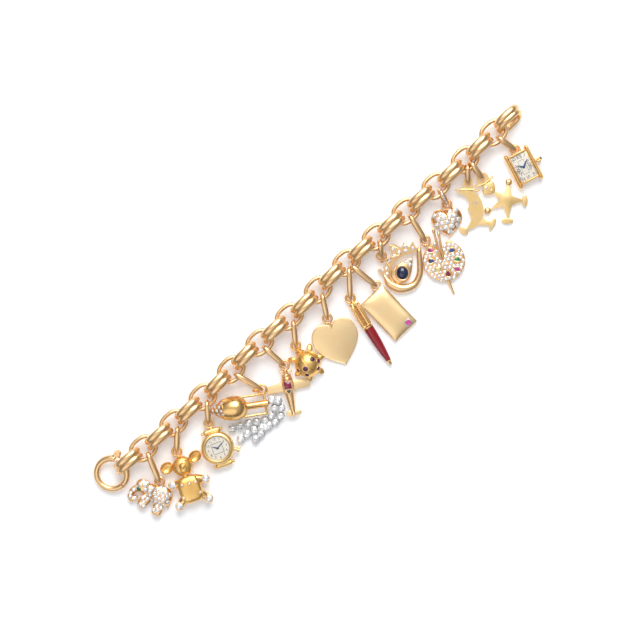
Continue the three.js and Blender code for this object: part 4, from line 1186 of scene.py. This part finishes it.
eye.add("sapphire", oval((*SAPPHIRE_AT, 2.2), (1.9, 2.2, 1.35)), NIGHT_SAPPHIRE, "sapphire")
eye.add_bail()

# %% [markdown]
# ## The painter's palette
#
# A kidney-shaped palette set close with small stones, with pear-cut stones in gold rims for its paints. Two
# brushes cross it, tips up, and a third handle shows below.

# %% Palette
palette = Charm("palette", 9, -42, lift=2.5, level=1.6)
PALETTE_AT, PALETTE_HALF = (6.2, -6.7), (7.0, 6.9)
sweep = np.radians(np.linspace(112, 360 + 80, 72))
lobes = np.column_stack([
    PALETTE_AT[0] + PALETTE_HALF[0] * np.cos(sweep), PALETTE_AT[1] + PALETTE_HALF[1] * np.sin(sweep)])
notch = curve([(7.4, 0.1), (6.2, -1.3), (5.6, -3.2), (5.0, -3.4), (4.4, -2.0), (3.6, -0.3)], 14)[1:-1, :2]
kidney = plate(np.concatenate([lobes, notch]), 0.3, 2.1, 0.3)
PAINTS = [
    ("pink", (1.95, -3.35), -20, PINK, "pink_stone"), ("blue", (2.2, -6.8), 0, SAPPHIRE, "sapphire"),
    ("sky", (8.7, -3.4), -130, SAPPHIRE, "sapphire"), ("green", (10.4, -6.25), 195, EMERALD, "emerald"),
    ("rose", (10.3, -9.35), 150, PINK, "pink_stone"), ("red", (7.55, -10.9), 100, RUBY, "ruby"),
    ("yellow", (4.2, -9.6), 45, YELLOW, "yellow_stone"),
]
BRUSHES = [((2.3, 4.5, 2.35), (5.1, -5.7, 2.45)), ((4.2, 3.1, 2.35), (5.9, -5.9, 2.45))]
away_from = [(*place, 1.2) for _, place, *_ in PAINTS]
for tip, end in BRUSHES:
    shares = np.linspace(0.3, 0.95, 9)
    away_from += [(*(np.array(tip[:2]) * (1 - s) + np.array(end[:2]) * s), 0.7) for s in shares]
stones, grains, count = pave(kidney, 1.38, 0.62, keep_off=away_from, turn=12, margin=0.75, sunk=0.0)
# A brush's radius at shares of its length: hair, ferrule and handle.
BRUSH_AT, BRUSH_TO = [0, 0.1, 0.2, 0.3, 0.42, 1], [0.1, 0.5, 0.48, 0.34, 0.42, 0.4]
girth = np.interp(np.linspace(0, 1, 34), BRUSH_AT, BRUSH_TO)
brush_parts = [tube(np.linspace(tip, end, 34), girth, sides=12) for tip, end in BRUSHES]
handle = rod((7.2, -12.4, 1.3), (9.5, -17.6, 0.9), 0.72, 0.36)
pear_rim = tube(np.column_stack([pear(1.15, 0.75), np.zeros(16)]), 0.16, closed=True, sides=8)
rims = [moved(pear_rim, (*place, 2.15), (0, 0, heading)) for _, place, heading, *_ in PAINTS]
joint_block = block((1.2, -1.7, 1.5), (1.3, 1.3, 0.9), (0, 0, 40))
palette_body = joined(kidney, grains, *rims, joint_block, top_loop(1.6, 1.7))
palette.add("plate", palette_body, SETTING, "pave", ["palette"])
palette.add("stones", stones, DIAMOND, "diamond")
palette.add("brushes", joined(*brush_parts, handle), POLISHED, "gold")
paint = faceted(pear(1.05, 0.68), 0.16, 0.45, 0.62)
for colour, place, heading, cut, slot in PAINTS:
    palette.add(f"{colour}_paint", moved(paint, (*place, 2.22), (0, 0, heading)), cut, slot)
palette.add_bail()
print("palette stones:", count)


# %% [markdown]
# ## The moon and the star
#
# Two flat little walkers, sawn from sheet, share one link. The moon is a crescent with a plain profile, a
# slit eye and a round hat; the star wears its hat tipped and has balls for hands. Both faces are brushed.

# %% Moon
moon = Charm("moon_man", 11, -42, lift=5, level=0.8, step=-0.74)
BACK = [(-3.8, -3.1), (-1.2, -2.35), (1.2, -2.6), (3.0, -3.7), (4.4, -5.7), (5.1, -8.3), (4.9, -11.0),
        (3.6, -13.4), (1.4, -15.0), (-0.8, -15.6)]
PROFILE = [(0.5, -13.4), (1.15, -12.2), (1.3, -11.6), (0.75, -11.1), (0.45, -10.5), (1.2, -10.3),
           (1.6, -10.0), (0.9, -9.8), (0.75, -9.4), (0.1, -9.3), (-0.25, -8.8), (0.3, -7.6), (0.35, -6.4),
           (-0.1, -5.2), (-1.1, -4.2), (-2.4, -3.5)]
face = np.concatenate([curve(BACK, 40)[:, :2], PROFILE])
slit = np.array([(1.2, -6.9), (1.9, -6.1), (2.9, -5.7), (3.5, -5.9), (3.0, -6.8), (2.0, -7.2)])
LEG = [(4.2, -11.4), (6.0, -12.4), (7.8, -12.6), (8.4, -11.8), (9.2, -11.7), (9.3, -12.7), (8.6, -14.3),
       (7.4, -15.6), (7.0, -15.4), (7.3, -14.2), (5.2, -13.9), (3.2, -13.7)]
leg = plate(curve(LEG, 44, closed=True), 0.2, 1.3, 0.15)
shoe = moved(plate(circle(1.65, 28, 0.62), 0.15, 1.3, 0.15), (-1.4, -15.8, 0), (0, 0, -35))
# The crown is pierced where the bail passes through.
HAT_HOLE = circle(1.02, 24)
CROWN = [(-2.0, -2.1), (0, -2.15), (1.9, -2.1), (1.7, -0.9), (1.6, 0.3), (1.15, 1.35), (0, 1.85),
         (-1.15, 1.35), (-1.6, 0.3), (-1.75, -0.9)]
crown = pierced(curve(CROWN, 40, closed=True), HAT_HOLE, 0.2, 1.3)
brim = tube(curve([(-3.9, -2.35, 0.85), (0, -2.1, 0.95), (3.3, -2.5, 0.85)], 30), 0.34, tall=1.5)
hat_band = rod((-2.1, -1.95, 1.0), (2.0, -2.0, 1.0), 0.34)
moon.add("figure", joined(pierced(face, slit, 0.2, 1.35), leg, shoe), SATIN_YELLOW, "gold", ["moon_man"])
hip_pin = rod((3.4, -12.0, 0.9), (4.6, -11.2, 0.9), 0.25)
moon.add("hat", joined(crown, brim, hat_band, hip_pin), SATIN_YELLOW, "gold")
moon.add_bail()

# %% Star
star = Charm("star_man", 11, -42, lift=5, level=0.9, step=0.74)
STAR_AT = np.array((8.1, -7.2))
TIPS = [(84, 6.0), (0, 5.8), (-85, 6.5), (-151, 6.2), (-214, 6.1)]  # each arm's heading and reach
INNER = 2.3  # reach of the corners between two arms
corners = []
for (heading, reach), (after, _) in zip(TIPS, TIPS[1:] + [(TIPS[0][0] - 360, 0)]):
    half = radians((heading + after) / 2)
    corners.append(STAR_AT + reach * np.array((cos(radians(heading)), sin(radians(heading)))))
    corners.append(STAR_AT + INNER * np.array((cos(half), sin(half))))
star_plate = plate(corners[::-1], 0.2, 1.25, 0.12)
hands = [oval((8.75, -1.2, 1.0), (1.15, 1.2, 0.85)), oval((1.85, -10.6, 1.0), (1.15, 1.15, 0.85))]
shoes = [moved(plate(circle(radius, 28, stretch), 0.15, 1.3, 0.2), at)
         for radius, stretch, at in ((0.95, 2.05, (14.1, -7.4, 0)), (2.0, 0.48, (8.4, -14.0, 0)))]
SKULL = [(0.4, -2.2), (0.2, -3.8), (0.3, -4.9), (1.2, -5.4), (2.6, -5.3), (3.9, -4.6), (4.3, -3.2),
         (3.9, -1.6), (2.9, -0.9)]
head = plate(curve(SKULL, 40, closed=True), 0.2, 1.6, 0.3)
hat_brim = tube(curve([(-1.9, -2.6, 1.2), (1.0, -1.5, 1.35), (3.4, 0.5, 1.2)], 30), 0.36, tall=1.4)
TIPPED_CROWN = [(-1.3, -2.1), (0.4, -1.6), (2.3, -0.2), (1.9, 1.0), (1.0, 1.8), (-0.4, 1.85), (-1.5, 1.2),
                (-1.85, 0.0), (-1.7, -1.2)]
hat_crown = pierced(curve(TIPPED_CROWN, 40, closed=True), HAT_HOLE, 0.2, 1.5)
rivet = moved(standing([(0.5, 0), (0.5, 0.2), (0.4, 0.25)], sides=20), (3.05, -3.95, 1.5))
star.add("figure", joined(star_plate, *hands, *shoes, head, rivet), SATIN_YELLOW, "gold", ["star_man"])
star.add("hat", joined(hat_brim, hat_crown), SATIN_YELLOW, "gold")
star.add("eye", brilliants([(1.4, -3.0, 1.65)], 0.5), DIAMOND, "diamond")
star.add_bail()

# %% [markdown]
# ## The square watch
#
# A long square case held between two round-ended side bars. The cream dial has Roman numerals, a fine rail of
# minutes within them and blued sword hands, and the crown is set with a dark bead.

# %% Square watch
long_watch = Charm("square_watch", 12, -14.3, level=1.9)
CASE_AT = (-0.2, -6.3)
HALF_WIDTH, HALF_LENGTH = 3.5, 5.15
WALL_INSET = 0.35
walls = [block((CASE_AT[0], CASE_AT[1] + sign * (HALF_LENGTH - WALL_INSET), 1.8), (6.6, 0.75, 3.4))
         for sign in (1, -1)]
case_back = plate(SQUARE * (HALF_WIDTH, HALF_LENGTH) + CASE_AT, 0.1, 2.9, 0.25)
bars = [tube(np.linspace((x, top, 1.9), (x, low, 1.9), 40), 0.8, tall=2.05, sides=20)
        for x, top, low in ((-3.95, -0.95, -11.75), (3.55, -0.85, -11.85))]
winder_rows = [(-0.6, 0.5), (0.3, 0.6), (0.4, 0.95), (1.3, 0.95), (1.4, 0.75)]
winder = moved(turned(winder_rows, flutes=12, depth=0.08), (4.6, -6.3, 1.9), (0, 0, 90))
long_case = joined(case_back, *walls, *bars, winder, top_loop(1.9, 1.9))
long_watch.add("case", long_case, BRIGHT_DEEP, "deep_gold", ["square_watch"])
long_watch.add("cabochon", oval((6.15, -6.3, 1.9), (0.45, 0.55, 0.55)), NIGHT_SAPPHIRE, "sapphire")
DIAL_LEVEL = 3.05
long_watch.add("dial", plate(SQUARE * (2.95, 4.55) + CASE_AT, 2.8, DIAL_LEVEL, 0.05), DIAL, "dial")
numerals = []
# The numerals stand on a rectangle, so the reach is the nearer of its two walls along each bearing.
for hour, word in enumerate(["XII", "I", "II", "III", "IIII", "V", "VI", "VII", "VIII", "IX", "X", "XI"]):
    bearing = radians(90 - 30 * hour)
    reach = 1 / max(abs(cos(bearing)) / 2.0, abs(sin(bearing)) / 3.6)
    upright = degrees(bearing) - 90
    spot = (CASE_AT[0] + reach * cos(bearing), CASE_AT[1] + reach * sin(bearing), DIAL_LEVEL)
    numerals.append(lettering(word, 1.65, spot, upright))
rails = [frame_line(x, y, DIAL_LEVEL + 0.03, CASE_AT, 0.04) for x, y in ((1.0, 2.4), (2.85, 4.4))]
long_watch.add("numerals", joined(*numerals, *rails), INK, "dark_print")
sword_hands = joined(
    hand(2.0, 0.6, -56, DIAL_LEVEL + 0.12, CASE_AT), hand(2.9, 0.55, 50, DIAL_LEVEL + 0.2, CASE_AT),
    standing([(0.4, 0), (0.4, 0.2), (0.3, 0.3)], (*CASE_AT, DIAL_LEVEL)),
)
long_watch.add("hands", sword_hands, BLUED, "blue_steel")
long_watch.add_bail()

# %% [markdown]
# ## Table and light
#
# A pale table that glows faintly blue, a painted glow that lifts and cools the shadows on it and lights the
# pieces a little from below; one broad soft light from beyond the top of the view, a fainter one opposite it,
# and a gentle sky that is bright overhead and dim at the horizon. Metal has no colour of its own to show
# without something to mirror, so the dim band at the horizon is what draws the dark edges along each wire.

# %% Table, lights and sky
def floor():
    size = 3000.0
    corners = np.array([[-size, -size, 0], [size, -size, 0], [size, size, 0], [-size, size, 0]])
    mesh = bpy.data.meshes.new("table_top")
    mesh.from_pydata((corners * MM).tolist(), [], [[0, 1, 2, 3]])
    made = bpy.data.objects.new("table_top", mesh)
    bpy.context.scene.collection.objects.link(made)
    f = Finish("pale_table_painted_glow")
    mesh.materials.append(f.surface(
        Base_Color=f.ramp(f.noise(20, 3), (0.4, (0.93, 0.935, 0.95)), (0.6, (0.95, 0.955, 0.965))),
        Roughness=0.75,
        Specular_IOR_Level=0.1,
        # The table glows faintly blue: a painted glow that lifts and cools the shadows cast on it and lights
        # the pieces a little from below.
        Emission_Color=(0.85, 0.92, 1.0, 1.0),
        Emission_Strength=0.2,
    ))


def softbox(name, place, size, power):
    """A square white light that faces the middle of the table; its place is in millimetres."""
    lamp = bpy.data.lights.new(name, "AREA")
    lamp.size = size * MM
    lamp.energy = power
    made = bpy.data.objects.new(name, lamp)
    made.location = Vector(place) * MM
    made.rotation_euler = (-Vector(place)).to_track_quat("-Z", "Y").to_euler()
    bpy.context.scene.collection.objects.link(made)


def sky():
    world = bpy.data.worlds.new("studio")
    bpy.context.scene.world = world
    world.use_nodes = True
    nodes, links = world.node_tree.nodes, world.node_tree.links
    place = nodes.new("ShaderNodeTexCoord")
    split = nodes.new("ShaderNodeSeparateXYZ")
    ramp = nodes.new("ShaderNodeValToRGB")
    for i, (position, colour) in enumerate(SKY):
        stop = ramp.color_ramp.elements[i] if i < 2 else ramp.color_ramp.elements.new(position)
        stop.position, stop.color = position, (*colour, 1)
    links.new(place.outputs["Generated"], split.inputs[0])
    links.new(split.outputs["Z"], ramp.inputs["Fac"])
    links.new(ramp.outputs["Color"], nodes["Background"].inputs["Color"])
    nodes["Background"].inputs["Strength"].default_value = SKY_STRENGTH


# The sky's colours by height, from the horizon at 0 to straight overhead at 1.
SKY = [(0.0, (0.12, 0.12, 0.125)), (0.5, (0.27, 0.27, 0.28)), (0.8, (0.55, 0.55, 0.555)),
       (1.0, (0.72, 0.71, 0.7))]
SKY_STRENGTH = 0.8
up_view = np.array([sin(radians(CLIMB)), cos(radians(CLIMB)), 0])
floor()
sky()
softbox("key", up_view * 620 + (0, 0, 720), 700, 8.5)
softbox("fill", -up_view * 500 + (-250, 150, 800), 900, 2)
bpy.context.scene.view_settings.view_transform = "Standard"
